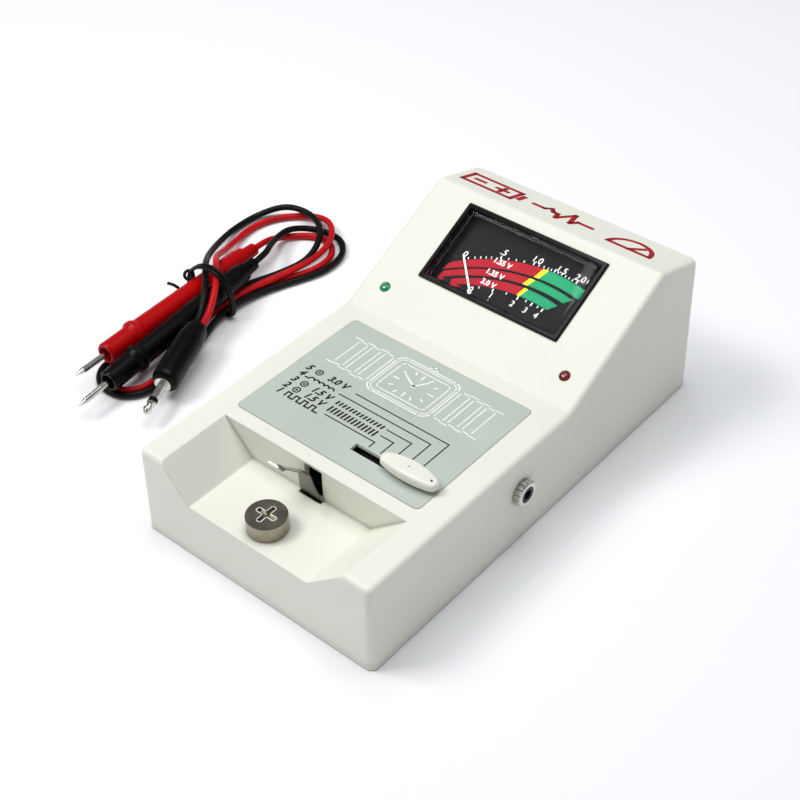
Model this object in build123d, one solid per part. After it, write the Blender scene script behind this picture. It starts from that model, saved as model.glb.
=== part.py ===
from build123d import *
import math
import os

os.makedirs("parts", exist_ok=True)

# Watch-battery tester with an analogue meter, in millimetres.
# +X is right, +Y runs from the user to the back, +Z is up.
# The origin is the middle of the case's underside.

# ---------------------------------------------------------------- driving dimensions
CASE_W = 100.0            # width at the base
CASE_D = 178.0            # depth at the base
DRAFT = 1.15              # degrees that each wall leans in
FRONT_CORNER = 3.0
BACK_CORNER = 5.0
WALL = 2.2
DECK_Z = 35.0             # flat deck in front of the meter
CREASE_Y = 12.5           # where the deck meets the meter's slope
RIDGE = (64.5, 61.6)      # y and z of the top edge of the slope
BACK_TOP = (89.0, 54.4)   # y and z where the title strip meets the back

PLATE_T = 2.0             # base plate
TRAY_FLOOR_Z = 22.0
TRAY_BACK_Y = -59.0
TRAY_BOTTOM_X = (-27.4, 23.8)
TRAY_HALF_TOP = 39.0
TRAY_WALL = 2.0

LABEL_X = (-39.4, 38.4)
LABEL_Y = (-53.2, 6.0)
LABEL_T = 0.4
LABEL_RECESS = 0.3
LABEL_GAP = 0.15

KNOB_X = 27.4             # selector at rest, at the right end of its slot
KNOB_Y = -44.0
KNOB_TRAVEL = 19.4
SLOT_X = (4.0, 31.5)
SLOT_W = 3.3

METER_X = -0.6            # centre of the meter's window
METER_S = 36.95           # distance of that centre up the slope from the crease
METER_W = 60.0
METER_H = 33.3
METER_RIM = 1.8
PIVOT_X = 6.0             # pointer pivot, hidden below the window
PIVOT_S = 6.0
POINTER_R = 41.0
POINTER_REST = 133.6      # degrees, at zero on the scale

LED_X = 39.2
LED_S = 10.9
LED_D = 3.8

POST_X = -1.6
POST_Y = -79.0
POST_R = 6.9
POST_TOP_Z = 28.0
ARM_X = -0.6
ARM_W = 8.8
ARM_ROOT_Y = -59.9        # the arm's leaf stands just in front of the tray's back wall
ARM_SHOULDER = (-61.6, 33.6)   # y and z where the leaf bends forwards
ARM_NECK = (-71.2, 43.0)  # y and z of the top of its straight neck
ARM_HINGE = 2.2           # distance up the neck from the shoulder to the line it flexes about
ARM_GAP = 0.3
NOTCH_X = (-3.5, 3.8)
NOTCH_TOP_Z = 34.0

JACK_Y = -14.5
JACK_Z = 20.8
JACK_BORE_R = 1.8

BOARD_TOP_Z = 24.0
BOARD_T = 1.6

BATTERY = (48.5, 26.5, 17.5)
BATTERY_Y = 64.5
DOOR_W = 58.0
DOOR_FRONT_Y = 46.0

CORD_D = 2.6
PROBE_R = 4.5
PROBE_LEN = 84.5
PIN_LEN = 15.4
PIN_R = 1.2
PIN_SET = 12.0            # depth of a pin inside its handle
CUP = (2.9, 2.4)          # radius and depth of the open cup round the pin
PLUG_R = 5.25
SLEEVE_R = 1.75           # a 3.5 mm plug
TANG_R = 1.5              # the sleeve's root inside the barrel
TANG_LEN = 6.0
WASHER = (3.2, 1.0)       # radius and thickness of the plug's metal washer

slope_angle = math.degrees(math.atan2(RIDGE[1] - DECK_Z, RIDGE[0] - CREASE_Y))
slope_dir = Vector(0, math.cos(math.radians(slope_angle)), math.sin(math.radians(slope_angle)))
slope_normal = Vector(0, -slope_dir.Z, slope_dir.Y)
# Local frame of the slope: X across, Y up the slope from the crease, Z out of the case.
SLOPE = Plane(origin=(0, CREASE_Y, DECK_Z), x_dir=(1, 0, 0), z_dir=slope_normal)


# ---------------------------------------------------------------- helpers
def block(x, y, z):
    """A box from its three (low, high) pairs."""
    centre = [(a + b) / 2 for a, b in (x, y, z)]
    size = [b - a for a, b in (x, y, z)]
    return Pos(*centre) * Box(*size)


def rod(x, y, z, radius):
    """An upright cylinder between two heights."""
    return Pos(x, y, (z[0] + z[1]) / 2) * Cylinder(radius, z[1] - z[0])


def corner_radii(points):
    """Each corner's radius: 0.45 of its shorter run over the tangent of half its turn."""
    radii = []
    for before, here, after in zip(points, points[1:], points[2:], strict=False):
        first = Vector(*here) - Vector(*before)
        second = Vector(*after) - Vector(*here)
        turn = math.radians(first.get_angle(second))
        radii.append(0.45 * min(first.length, second.length) / math.tan(turn / 2))
    return radii


def route_path(points):
    """Straight runs joined by tangent arcs."""
    return FilletPolyline(*points, radius=corner_radii(points))


def tube(points, diameter):
    """A round tube along a route."""
    path = route_path(points)
    section = Plane(origin=path @ 0, z_dir=path % 0) * Circle(diameter / 2)
    return sweep(section, path=path)


def along(start, direction, distance):
    """The point a distance from start along a unit direction."""
    return tuple(s + d * distance for s, d in zip(start, direction, strict=True))


def axis_plane(origin, direction):
    """A plane at origin whose Z runs along direction."""
    return Plane(origin=origin, z_dir=direction)


def turned(profile):
    """A solid of revolution about Z from (radius, height) points."""
    face = Plane.XZ * make_face(Polyline(*profile, close=True))
    return revolve(face, Axis.Z)


def write(node, *solids):
    """One STEP file for a sub-part, as a group where it is several solids."""
    shapes = [s for group in solids for s in group.solids()]
    whole = shapes[0] if len(shapes) == 1 else Compound(children=shapes)
    export_step(whole, f"parts/{node}.step")


# ---------------------------------------------------------------- case
def case_form(inset):
    """The case's outer form, moved inwards all round by inset."""
    outline = Rectangle(CASE_W - 2 * inset, CASE_D - 2 * inset)
    front = outline.vertices().group_by(Axis.Y)[0]
    outline = fillet(front, max(FRONT_CORNER - inset, 0.8))
    back = outline.vertices().group_by(Axis.Y)[-1]
    outline = fillet(back, max(BACK_CORNER - inset, 0.8))
    body = extrude(outline, 80, taper=DRAFT)
    strip_slope = (BACK_TOP[1] - RIDGE[1]) / (BACK_TOP[0] - RIDGE[0])
    far = CASE_D / 2 + 20
    side = make_face(Polyline(
        (-far, -20),
        (far, -20),
        (far, RIDGE[1] + strip_slope * (far - RIDGE[0])),
        RIDGE,
        (CREASE_Y, DECK_Z),
        (-far, DECK_Z),
        close=True,
    ))
    if inset:
        side = offset(side, -inset, kind=Kind.INTERSECTION)
    return body & extrude(Plane.YZ * side, 80, both=True)


def outer_form():
    """The outer form with its top edges rounded."""
    form = case_form(0)
    rim = [
        e for e in form.edges()
        if e.center().Z > DECK_Z - 0.5
        and (abs(e.center().X) > CASE_W / 2 - 8 or abs(e.center().Y) > CASE_D / 2 - 8)
        and e.bounding_box().size.Z < 40
    ]
    form = fillet(rim, 2.2)
    ridge = [
        e for e in form.edges().filter_by(Axis.X)
        if abs(e.center().Y - RIDGE[0]) < 1 and abs(e.center().Z - RIDGE[1]) < 1
    ]
    return fillet(ridge, 1.6)


def tray_section(grow):
    """The tray's cross-section across X, grown outwards by grow."""
    left, right = TRAY_BOTTOM_X
    # The side walls run on in line to twice the tray's depth, past the deck.
    high = 2 * DECK_Z - TRAY_FLOOR_Z
    section = make_face(Polyline(
        (left, TRAY_FLOOR_Z),
        (right, TRAY_FLOOR_Z),
        (2 * TRAY_HALF_TOP - right, high),
        (-2 * TRAY_HALF_TOP - left, high),
        close=True,
    ))
    if grow:
        return offset(section, grow, kind=Kind.INTERSECTION)
    return fillet(section.vertices().group_by(Axis.Y)[0], 0.5)


def tray_space(grow):
    """The tray's hollow, open to the front and top, grown by grow."""
    depth = TRAY_BACK_Y + grow + CASE_D / 2 + 10
    start = Plane(origin=(0, TRAY_BACK_Y + grow, 0), x_dir=(1, 0, 0), z_dir=(0, -1, 0))
    return extrude(start * tray_section(grow), depth)


SCREW_PLACES = [(x, y) for x in (-43, 43) for y in (-80, 78)]
BOARD_POSTS = [(-38.5, -50.5), (38.5, -51.0), (-38.5, 6.0), (38.5, 6.0)]
METER_EARS = [(METER_X + x, s) for x in (-34.6, 34.6) for s in (18.0, 50.0)]
SEAM_Z = PLATE_T
SCREW_PAD_Z = 4.4
WINDOW_GAP = 0.15


def upper_case():
    """The moulded shell: walls, deck, slope, tray, window, slots and screw bosses."""
    outer = outer_form()
    hollow = case_form(WALL)
    tub = tray_space(TRAY_WALL) & outer
    shell = (outer - hollow) + tub
    shell -= tray_space(0)
    shell -= block((-60, 60), (-100, 100), (-30, SEAM_Z))

    # Bosses for the case screws, standing on the base plate's pads and tied to the walls.
    for x, y in SCREW_PLACES:
        top = 19.0 if y < 0 else 34.0
        boss = rod(x, y, (SCREW_PAD_Z, top), 3.6)
        rib = block(sorted((x, math.copysign(48.6, x))), (y - 1, y + 1), (SCREW_PAD_Z, top))
        shell += (boss + rib) & case_form(0.5)
        shell -= rod(x, y, (SCREW_PAD_Z, SCREW_PAD_Z + 12), 1.25)
    # Bosses under the deck for the circuit board.
    for x, y in BOARD_POSTS:
        shell += rod(x, y, (BOARD_TOP_Z, DECK_Z - WALL + 0.1), 2.5)
        shell -= rod(x, y, (BOARD_TOP_Z, DECK_Z - 3.5), 0.9)
    # Bosses behind the slope for the meter's ears.
    for x, s in METER_EARS:
        shell += SLOPE * rod(x, s, (-8.0, -WALL + 0.1), 2.6)
        shell -= SLOPE * rod(x, s, (-8.0, -3.4), 0.95)
    # Boss under the tray floor for the contact arm's bracket.
    shell += rod(ARM_X, TRAY_BACK_Y - 8, (14.0, TRAY_FLOOR_Z - TRAY_WALL + 0.1), 3.0)
    shell -= rod(ARM_X, TRAY_BACK_Y - 8, (14.0, 19.0), 0.9)

    # Recess for the label plate, and the selector's slot through the deck.
    recess = RectangleRounded(
        LABEL_X[1] - LABEL_X[0] + 2 * LABEL_GAP,
        LABEL_Y[1] - LABEL_Y[0] + 2 * LABEL_GAP,
        2.0,
    )
    middle = Pos(sum(LABEL_X) / 2, sum(LABEL_Y) / 2, DECK_Z - LABEL_RECESS)
    shell -= middle * extrude(recess, 5)
    shell -= selector_slot((DECK_Z - 6, DECK_Z + 2))
    # The deck is thinned from below round the slot.
    thinned = block((SLOT_X[0] - 2, SLOT_X[1] + 2), (KNOB_Y - 4, KNOB_Y + 4), (DECK_Z - 6, DECK_Z - 1.2))
    shell -= thinned
    # Meter window and indicator holes through the slope.
    window = Box(METER_W + 2 * WINDOW_GAP, METER_H + 2 * WINDOW_GAP, 12)
    shell -= SLOPE * Pos(METER_X, METER_S, 0) * window
    for side in (-1, 1):
        shell -= SLOPE * Pos(side * LED_X, LED_S, 0) * Cylinder(LED_D / 2 + 0.08, 12)
    # Notch in the tray's back wall, and the slit in its floor that the contact arm stands in.
    shell -= block(NOTCH_X, (TRAY_BACK_Y - 0.5, TRAY_BACK_Y + 4), (TRAY_FLOOR_Z - 1, NOTCH_TOP_Z))
    slit_x = (ARM_X - ARM_W / 2 - 0.4, NOTCH_X[1] + 0.4)
    slit_y = (ARM_ROOT_Y - 0.9, TRAY_BACK_Y)
    shell -= block(slit_x, slit_y, (TRAY_FLOOR_Z - 4, TRAY_FLOOR_Z + 1))
    # Holes for the contact post and the jack.
    shell -= rod(POST_X, POST_Y, (15, 25), 1.6)
    shell -= Pos(CASE_W / 2, JACK_Y, JACK_Z) * Rot(0, 90, 0) * Cylinder(3.05, 12)
    return shell


def selector_slot(z):
    """The space of the selector's slot between two heights."""
    return block(SLOT_X, (KNOB_Y - SLOT_W / 2, KNOB_Y + SLOT_W / 2), z)


def base_plate():
    """The bottom cover with the battery box, rails for the door and screw pads."""
    plate = case_form(0) & block((-60, 60), (-100, 100), (0, PLATE_T))
    half_door = DOOR_W / 2 + 0.2
    plate -= block((-half_door, half_door), (DOOR_FRONT_Y - 0.2, 100), (-1, PLATE_T + 1))
    for side in (-1, 1):
        groove = sorted((side * half_door, side * (half_door + 1.6)))
        plate -= block(groove, (DOOR_FRONT_Y - 0.2, 100), (0.6, 1.5))
    # Frame round the battery opening, the box's walls and its lid.
    half_x = BATTERY[0] / 2 + 3.4
    front = BATTERY_Y - BATTERY[1] / 2 - 0.5
    back = BATTERY_Y + BATTERY[1] / 2 + 0.5
    top = PLATE_T + BATTERY[2] + 0.7
    frame = block((-33, 33), (DOOR_FRONT_Y - 3, back + 3), (PLATE_T, PLATE_T + 1.2))
    walls = block((-half_x - 1.5, half_x + 1.5), (front - 1.5, back + 1.5), (PLATE_T, top + 1.5))
    plate += frame + walls
    plate -= block((-half_x, half_x), (front, back), (-1, top))
    # Way out for the battery leads, beside the terminals.
    plate -= block((half_x - 1, half_x + 3), (BATTERY_Y - 4, BATTERY_Y + 4), (10, top - 2))
    # Lip that keys inside the shell's walls.
    lip = case_form(WALL + 0.25) - case_form(WALL + 1.35)
    lip &= block((-60, 60), (-100, DOOR_FRONT_Y - 6), (PLATE_T - 0.5, PLATE_T + 2.0))
    plate += lip
    for x, y in SCREW_PLACES:
        plate += rod(x, y, (0.5, SCREW_PAD_Z), 4.2) & case_form(WALL + 0.25)
        plate -= rod(x, y, (-1, SCREW_PAD_Z + 1), 1.7)
        plate -= rod(x, y, (-1, 2.6), 3.2)
    return plate


def battery_door():
    """The sliding door under the battery, with side tongues and a finger grip."""
    form = case_form(0.15) & block(
        (-DOOR_W / 2, DOOR_W / 2), (DOOR_FRONT_Y, 100), (0.2, 1.85)
    )
    for side in (-1, 1):
        tongue = sorted((side * (DOOR_W / 2 - 0.5), side * (DOOR_W / 2 + 1.5)))
        form += block(tongue, (DOOR_FRONT_Y, 84), (0.75, 1.35))
    grip = block((-8, 8), (74, 75), (-1, 0.8))
    for step in range(5):
        form -= Pos(0, 2.2 * step, 0) * grip
    return form


def case_screws():
    """Four pan-head screws up through the base plate."""
    screws = []
    for x, y in SCREW_PLACES:
        screw = rod(x, y, (0.7, 2.6), 2.9) + rod(x, y, (2.6, 14), 1.25)
        for angle in (0, 90):
            screw -= Pos(x, y, 0.7) * Rot(0, 0, angle) * Box(3.2, 0.7, 1.6)
        screws.append(screw)
    return screws


def label_plate():
    """The printed plate on the deck, with the selector's slot through it."""
    face = RectangleRounded(LABEL_X[1] - LABEL_X[0], LABEL_Y[1] - LABEL_Y[0], 1.9)
    middle = Pos(sum(LABEL_X) / 2, sum(LABEL_Y) / 2, DECK_Z - LABEL_RECESS)
    return middle * extrude(face, LABEL_T) - selector_slot((DECK_Z - 6, DECK_Z + 2))


# ---------------------------------------------------------------- meter
HOUSING_X = (METER_X - 31, METER_X + 31)
HOUSING_S = (-4.5, 55.5)
HOUSING_N = (-21.0, -WALL - 0.1)
HOUSING_WALL = 1.5
DIAL_N = (-5.0, -4.4)
COIL_N = (-18.0, -9.0)


def meter_frame():
    """The black bezel that stands in the window."""
    outer = RectangleRounded(METER_W, METER_H, 0.6)
    inner = RectangleRounded(METER_W - 2 * METER_RIM, METER_H - 2 * METER_RIM, 0.5)
    ring = Pos(METER_X, METER_S, HOUSING_N[1]) * extrude(outer - inner, 1.0 - HOUSING_N[1])
    top = [e for e in ring.edges() if e.center().Z > 0.9]
    return SLOPE * chamfer(top, 0.35)


def meter_lens():
    """The clear window, with bevelled edges."""
    width = METER_W - 2 * METER_RIM - 0.3
    height = METER_H - 2 * METER_RIM - 0.3
    pane = Pos(METER_X, METER_S, -0.05) * Box(width, height, 1.9)
    return SLOPE * chamfer(pane.edges().group_by(Axis.Z)[-1], 0.8)


def meter_housing():
    """The open tub behind the slope that holds the movement, with four ears."""
    tub = block(HOUSING_X, HOUSING_S, HOUSING_N)
    inner = [(a + HOUSING_WALL, b - HOUSING_WALL) for a, b in (HOUSING_X, HOUSING_S)]
    tub -= block(inner[0], inner[1], (HOUSING_N[0] + HOUSING_WALL, 5))
    for x, s in METER_EARS:
        side = 1 if x > METER_X else -1
        edge = HOUSING_X[1] if side > 0 else HOUSING_X[0]
        ear = block(sorted((edge, x)), (s - 3.2, s + 3.2), (-10.0, -8.0))
        ear += rod(x, s, (-10.0, -8.0), 3.2)
        tub += ear
        tub -= rod(x, s, (-11.0, -7.0), 1.2)
    for side in (-1, 1):
        tub -= rod(METER_X + side * 15, 30, (-22, -18), 1.5)
    # Two ledges carry the dial.
    for s in (24.0, 50.0):
        for side in (-1, 1):
            edge = METER_X + side * 29.6
            ledge = sorted((edge, edge - side * 3))
            tub += block(ledge, (s - 2, s + 2), (DIAL_N[0] - 2, DIAL_N[0]))
    return SLOPE * tub


def meter_dial():
    """The scale plate under the pointer."""
    dial = block((METER_X - 29.0, METER_X + 29.0), (22.2, 53.6), DIAL_N)
    return SLOPE * dial


def meter_screws():
    """Four screws through the housing's ears."""
    screws = []
    for x, s in METER_EARS:
        screw = rod(x, s, (-11.4, -10.0), 2.2) + rod(x, s, (-10.0, -4.5), 0.95)
        screws.append(SLOPE * screw)
    return screws


def meter_magnet():
    """The core magnet inside the moving coil, on its peg."""
    core = rod(PIVOT_X, PIVOT_S, (-16.6, -10.4), 4.3)
    arm = block((PIVOT_X - 0.9, PIVOT_X + 0.9), (PIVOT_S - 7.1, PIVOT_S - 4.0), (-14.5, -12.5))
    return SLOPE * (core + arm)


def meter_yoke():
    """The soft-iron ring round the magnet."""
    ring = rod(PIVOT_X, PIVOT_S, (-17.0, -10.0), 8.6)
    ring -= rod(PIVOT_X, PIVOT_S, (-18, -9), 7.2)
    return SLOPE * ring


def bridge(level, posts):
    """A bar across the ring on two posts, with a jewel screw's hole."""
    bar = block((PIVOT_X - 8.6, PIVOT_X + 8.6), (PIVOT_S - 1.6, PIVOT_S + 1.6), level)
    for side in (-1, 1):
        bar += rod(PIVOT_X + side * 7.9, PIVOT_S, posts, 0.7)
    bar -= rod(PIVOT_X, PIVOT_S, (level[0] - 1, level[1] + 1), 1.2)
    return SLOPE * bar


def jewel_screws():
    """The two jewel screws that the staff turns in."""
    upper = rod(PIVOT_X, PIVOT_S, (-7.6, -5.2), 1.2) - rod(PIVOT_X, PIVOT_S, (-8, -6.6), 0.36)
    lower = rod(PIVOT_X, PIVOT_S, (-19.45, -18.4), 1.2) - rod(PIVOT_X, PIVOT_S, (-19.0, -18), 0.36)
    return [SLOPE * upper, SLOPE * lower]


def pointer():
    """The cranked pointer with its balance tail."""
    crank = 14.0
    low, high = -8.6, -3.7
    at = Pos(PIVOT_X, PIVOT_S, 0) * Rot(0, 0, POINTER_REST)
    hub = rod(0, 0, (low - 0.1, low + 0.5), 1.3)
    inner = block((0, crank), (-0.5, 0.5), (low, low + 0.4))
    rise = block((crank - 0.4, crank), (-0.5, 0.5), (low, high + 0.3))
    blade = block((crank - 0.4, POINTER_R), (-0.32, 0.32), (high, high + 0.3))
    tail = block((-5.2, 0), (-0.45, 0.45), (low, low + 0.4))
    weight = rod(-4.6, 0, (low - 0.1, low + 0.6), 0.9)
    shape = hub + inner + rise + blade + tail + weight
    shape -= rod(0, 0, (low - 1, low + 1), 0.3)
    return SLOPE * at * shape


def moving_coil():
    """The rectangular copper coil round the magnet."""
    at = Pos(PIVOT_X, PIVOT_S, 0) * Rot(0, 0, POINTER_REST)
    outer = block((-1.6, 1.6), (-6.5, 6.5), COIL_N)
    inner = block((-2, 2), (-5.1, 5.1), (COIL_N[0] + 1.0, COIL_N[1] - 1.0))
    return SLOPE * at * (outer - inner)


def meter_staff():
    """Two half-staffs, above and below the coil."""
    upper = rod(PIVOT_X, PIVOT_S, (COIL_N[1], -6.9), 0.3)
    lower = rod(PIVOT_X, PIVOT_S, (-18.9, COIL_N[0]), 0.3)
    return [SLOPE * upper, SLOPE * lower]


def hairspring():
    """A flat spiral of half-circles round the upper half-staff."""
    pitch, start, halves = 0.42, 0.7, 8
    spiral = []
    for half in range(halves):
        radius = start + pitch * half / 2
        centre = pitch / 4 * (1 if half % 2 else -1)
        begin = 180 * (half % 2)
        spiral.append(CenterArc((centre + pitch / 4, 0), radius, begin, 180))
    strip = trace(Curve() + spiral, 0.16)
    return SLOPE * Pos(PIVOT_X, PIVOT_S, -8.0) * extrude(strip, 0.3)


def meter_terminals():
    """Two threaded studs through the housing's floor."""
    return [
        SLOPE * (rod(METER_X + side * 15, 30, (-26, -18.5), 1.45)
                 + rod(METER_X + side * 15, 30, (-19.5, -18.5), 2.6))
        for side in (-1, 1)
    ]


def terminal_nuts():
    """Hexagon nuts on the meter's studs."""
    nuts = []
    for side in (-1, 1):
        nut = Pos(METER_X + side * 15, 30, -23.2) * extrude(RegularPolygon(2.9, 6), 2.2)
        nuts.append(SLOPE * (nut - rod(METER_X + side * 15, 30, (-24, -20), 1.45)))
    return nuts


# ---------------------------------------------------------------- indicators
def led(side):
    """A flanged indicator lamp with a domed tip and two leads."""
    body = turned([
        (0, -6.4), (2.4, -6.4), (2.4, -5.4), (LED_D / 2, -5.4), (LED_D / 2, -0.6),
        (1.55, 0.25), (0.85, 0.68), (0, 0.8),
    ])
    for offset_x in (-0.65, 0.65):
        body += rod(offset_x, 0, (-13, -6.4), 0.25)
    return SLOPE * Pos(side * LED_X, LED_S, 0) * body


def led_clip(side):
    """The plastic ring that holds a lamp behind the slope."""
    ring = rod(0, 0, (-5.3, -WALL - 0.05), 3.6)
    ring -= rod(0, 0, (-6, 0), LED_D / 2 + 0.02)
    return SLOPE * Pos(side * LED_X, LED_S, 0) * ring


# ---------------------------------------------------------------- selector
SWITCH_X = KNOB_X - KNOB_TRAVEL / 2
SWITCH_TOP_Z = 31.6
STEM_L = 6.0
STEM_W = 2.5
STEM_TOP_Z = 38.6
KNOB_BASE_Z = 36.7
KNOB_TOP_Z = 40.3
KNOB_L = 22.6
KNOB_W = 7.4
KNOB_END_R = 2.6
KNOB_CROWN = 52.0         # radius of the crown along its length


def selector_knob():
    """The oval thumb knob, crowned, with a dimple in its middle and a pip near its right end."""
    half_l, half_w = KNOB_L / 2, KNOB_W / 2
    reach = half_l - KNOB_END_R
    # The side arcs are tangent to the round ends.
    bow = (reach ** 2 + half_w ** 2 - KNOB_END_R ** 2) / (2 * (half_w - KNOB_END_R))
    lens = Pos(0, half_w - bow) * Circle(bow) & Pos(0, bow - half_w) * Circle(bow)
    oval = fillet(lens.vertices(), KNOB_END_R)
    form = Pos(0, 0, KNOB_BASE_Z) * extrude(oval, KNOB_TOP_Z - KNOB_BASE_Z)
    form &= Pos(0, 0, KNOB_TOP_Z - KNOB_CROWN) * Sphere(KNOB_CROWN)
    upper = [e for e in form.edges() if e.center().Z > KNOB_BASE_Z + 1.2]
    form = fillet(upper, 1.3)
    lower = [e for e in form.edges() if e.center().Z < KNOB_BASE_Z + 0.1]
    form = fillet(lower, 0.5)
    form -= Pos(0, 0, KNOB_TOP_Z + 0.35) * Sphere(0.6)
    form -= rod(half_l - 2.3, 0, (KNOB_TOP_Z - 1.8, KNOB_TOP_Z), 0.42)
    form -= block(
        (-STEM_L / 2, STEM_L / 2), (-STEM_W / 2, STEM_W / 2), (KNOB_BASE_Z - 1, STEM_TOP_Z)
    )
    return Pos(KNOB_X, KNOB_Y, 0) * form


def selector_slider():
    """The moulded slider inside the switch, with the stem that carries the knob."""
    carrier = block((-7, 7), (-3.3, 3.3), (25.3, 30.4))
    stem = block((-STEM_L / 2, STEM_L / 2), (-STEM_W / 2, STEM_W / 2), (30.4, STEM_TOP_Z))
    return Pos(KNOB_X, KNOB_Y, 0) * (carrier + stem)


def slide_switch():
    """The switch's metal can on the circuit board, open along its top."""
    can = block((-19, 19), (-4.5, 4.5), (BOARD_TOP_Z, SWITCH_TOP_Z))
    can -= block((-18.2, 18.2), (-3.6, 3.6), (BOARD_TOP_Z + 0.8, SWITCH_TOP_Z - 0.8))
    can -= block((-14.5, 14.5), (-1.6, 1.6), (SWITCH_TOP_Z - 2, SWITCH_TOP_Z + 1))
    return Pos(SWITCH_X, KNOB_Y, 0) * can


# ---------------------------------------------------------------- circuit board
def circuit_board():
    """The board under the deck, notched round the jack."""
    board_z = (BOARD_TOP_Z - BOARD_T, BOARD_TOP_Z)
    board = block((-43, 43), (-55, 10), board_z)
    board -= block((29, 50), (JACK_Y - 10, JACK_Y + 10), (15, 30))
    for x, y in BOARD_POSTS:
        board -= rod(x, y, (15, 30), 1.2)
    return board


def board_screws():
    """Four screws up into the deck's bosses."""
    under = BOARD_TOP_Z - BOARD_T
    return [
        rod(x, y, (under - 1.3, under), 2.1) + rod(x, y, (under, 29.5), 0.9)
        for x, y in BOARD_POSTS
    ]


def integrated_circuits():
    """Two dual-in-line packages with their legs."""
    chips = []
    for x, y, legs in ((-27, -30, 7), (-27, -8, 4)):
        length = 2.54 * legs
        chip = block((-3.2, 3.2), (-length / 2, length / 2), (BOARD_TOP_Z + 0.9, BOARD_TOP_Z + 4.3))
        chip -= Pos(0, length / 2, BOARD_TOP_Z + 4.3) * Sphere(0.8)
        for leg in range(legs):
            at = (leg - (legs - 1) / 2) * 2.54
            for side in (-1, 1):
                foot = sorted((side * 3.0, side * 4.0))
                chip += block(foot, (at - 0.3, at + 0.3), (BOARD_TOP_Z + 2.2, BOARD_TOP_Z + 2.5))
                foot = sorted((side * 3.7, side * 4.0))
                chip += block(foot, (at - 0.3, at + 0.3), (BOARD_TOP_Z, BOARD_TOP_Z + 2.5))
        chips.append(Pos(x, y, 0) * chip)
    return chips


def resistors():
    """Two rows of axial resistors, each with its bent leads."""
    bodies = []
    for row, x in enumerate((-13.5, 16.0)):
        for place in range(5):
            y = -30 + 5.5 * place
            body = Rot(0, 90, 0) * Cylinder(1.15, 6.0)
            lead = Rot(0, 90, 0) * Cylinder(0.3, 9.6)
            legs = [rod(side * 4.5, 0, (-1.5, 0.3), 0.3) for side in (-1, 1)]
            whole = body + lead + legs[0] + legs[1]
            bodies.append(Pos(x + row, y, BOARD_TOP_Z + 1.5) * whole)
    return bodies


def capacitors():
    """Four upright electrolytic capacitors."""
    places = [(-37, -36), (-37, -24), (2, 5), (14, 5)]
    can = rod(0, 0, (0, 7.2), 2.5)
    can = fillet([e for e in can.edges() if e.center().Z > 7], 0.5)
    return [Pos(x, y, BOARD_TOP_Z) * can for x, y in places]


def trimmers():
    """Three square trimming resistors with slotted rotors."""
    bodies = []
    for x in (-26, -16, -6):
        trimmer = block((-3.4, 3.4), (-3.4, 3.4), (0, 4.2)) + rod(0, 0, (4.2, 5.0), 2.0)
        trimmer -= block((-1.7, 1.7), (-0.35, 0.35), (4.6, 6))
        bodies.append(Pos(x, 5, BOARD_TOP_Z) * trimmer)
    return bodies


COIL_AT = (1.0, -16.0)


def coil_bobbin():
    """The bobbin that the pulse pickup is wound on, with its ferrite core's hole."""
    bobbin = rod(0, 0, (0, 7.6), 3.6) + rod(0, 0, (0, 0.9), 8.4) + rod(0, 0, (6.7, 7.6), 8.4)
    bobbin -= rod(0, 0, (-1, 9), 2.0)
    return Pos(*COIL_AT, BOARD_TOP_Z) * bobbin


def pickup_coil():
    """The copper winding of the pulse pickup."""
    winding = rod(0, 0, (0.9, 6.7), 7.8) - rod(0, 0, (0, 8), 3.6)
    return Pos(*COIL_AT, BOARD_TOP_Z) * winding


def pickup_core():
    """The ferrite rod in the pickup."""
    return Pos(*COIL_AT, BOARD_TOP_Z) * rod(0, 0, (0, 8.2), 2.0)


# ---------------------------------------------------------------- test contacts
def contact_post():
    """The nickel post that the cell stands on, with a cross cut in its top."""
    head = rod(POST_X, POST_Y, (TRAY_FLOOR_Z, POST_TOP_Z), POST_R)
    head = chamfer([e for e in head.edges() if e.center().Z > POST_TOP_Z - 0.1], 0.25)
    for angle in (0, 90):
        groove = extrude(SlotOverall(7.6, 1.5), 1.6)
        head -= Pos(POST_X, POST_Y, POST_TOP_Z - 0.9) * Rot(0, 0, angle) * groove
    return head + rod(POST_X, POST_Y, (14.5, TRAY_FLOOR_Z), 1.5)


def post_nut():
    """The nut under the tray, with its solder tag."""
    floor = TRAY_FLOOR_Z - TRAY_WALL
    nut = Pos(POST_X, POST_Y, floor - 3.0) * extrude(RegularPolygon(3.2, 6), 2.4)
    tag = block((POST_X - 3, POST_X + 9), (POST_Y - 2, POST_Y + 2), (floor - 0.6, floor))
    return (nut + tag) - rod(POST_X, POST_Y, (10, 25), 1.5)


def up_the_neck(distance):
    """The y and z of a point on the neck's straight line, from the shoulder."""
    (y0, z0), (y1, z1) = ARM_SHOULDER, ARM_NECK
    share = distance / math.hypot(y1 - y0, z1 - z0)
    return (y0 + share * (y1 - y0), z0 + share * (z1 - z0))


def arm_strip(line):
    """A bent strip along a line in Y and Z, cut to the arm's plan.

    The plan is a broad leaf that is cut away in a curve on its right, then a neck with a spoon end.
    """
    half, neck_half, waist_half, tip_half = ARM_W / 2, 1.8, 1.3, 1.9
    right_leaf = [(half, 13.0), (half, 24.2), (3.4, 26.6), (2.6, 29.4), (2.1, 32.4)]
    left_leaf = [(-neck_half, 35.0), (-3.5, 32.6), (-half, 24.2), (-half, 13.0)]
    neck = [(neck_half, 35.0), (waist_half, 41.4), (tip_half, 44.0), (tip_half, 52.0)]
    other_side = [(-x, z) for x, z in reversed(neck[1:])]
    outline = right_leaf + neck + other_side + left_leaf
    plan = make_face(Polyline(*[(ARM_X + x, z) for x, z in outline], close=True))
    bent = extrude(Plane.YZ * trace(line, 0.4), 10, both=True)
    return bent & extrude(Plane.XZ * plan, 100, both=True)


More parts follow.
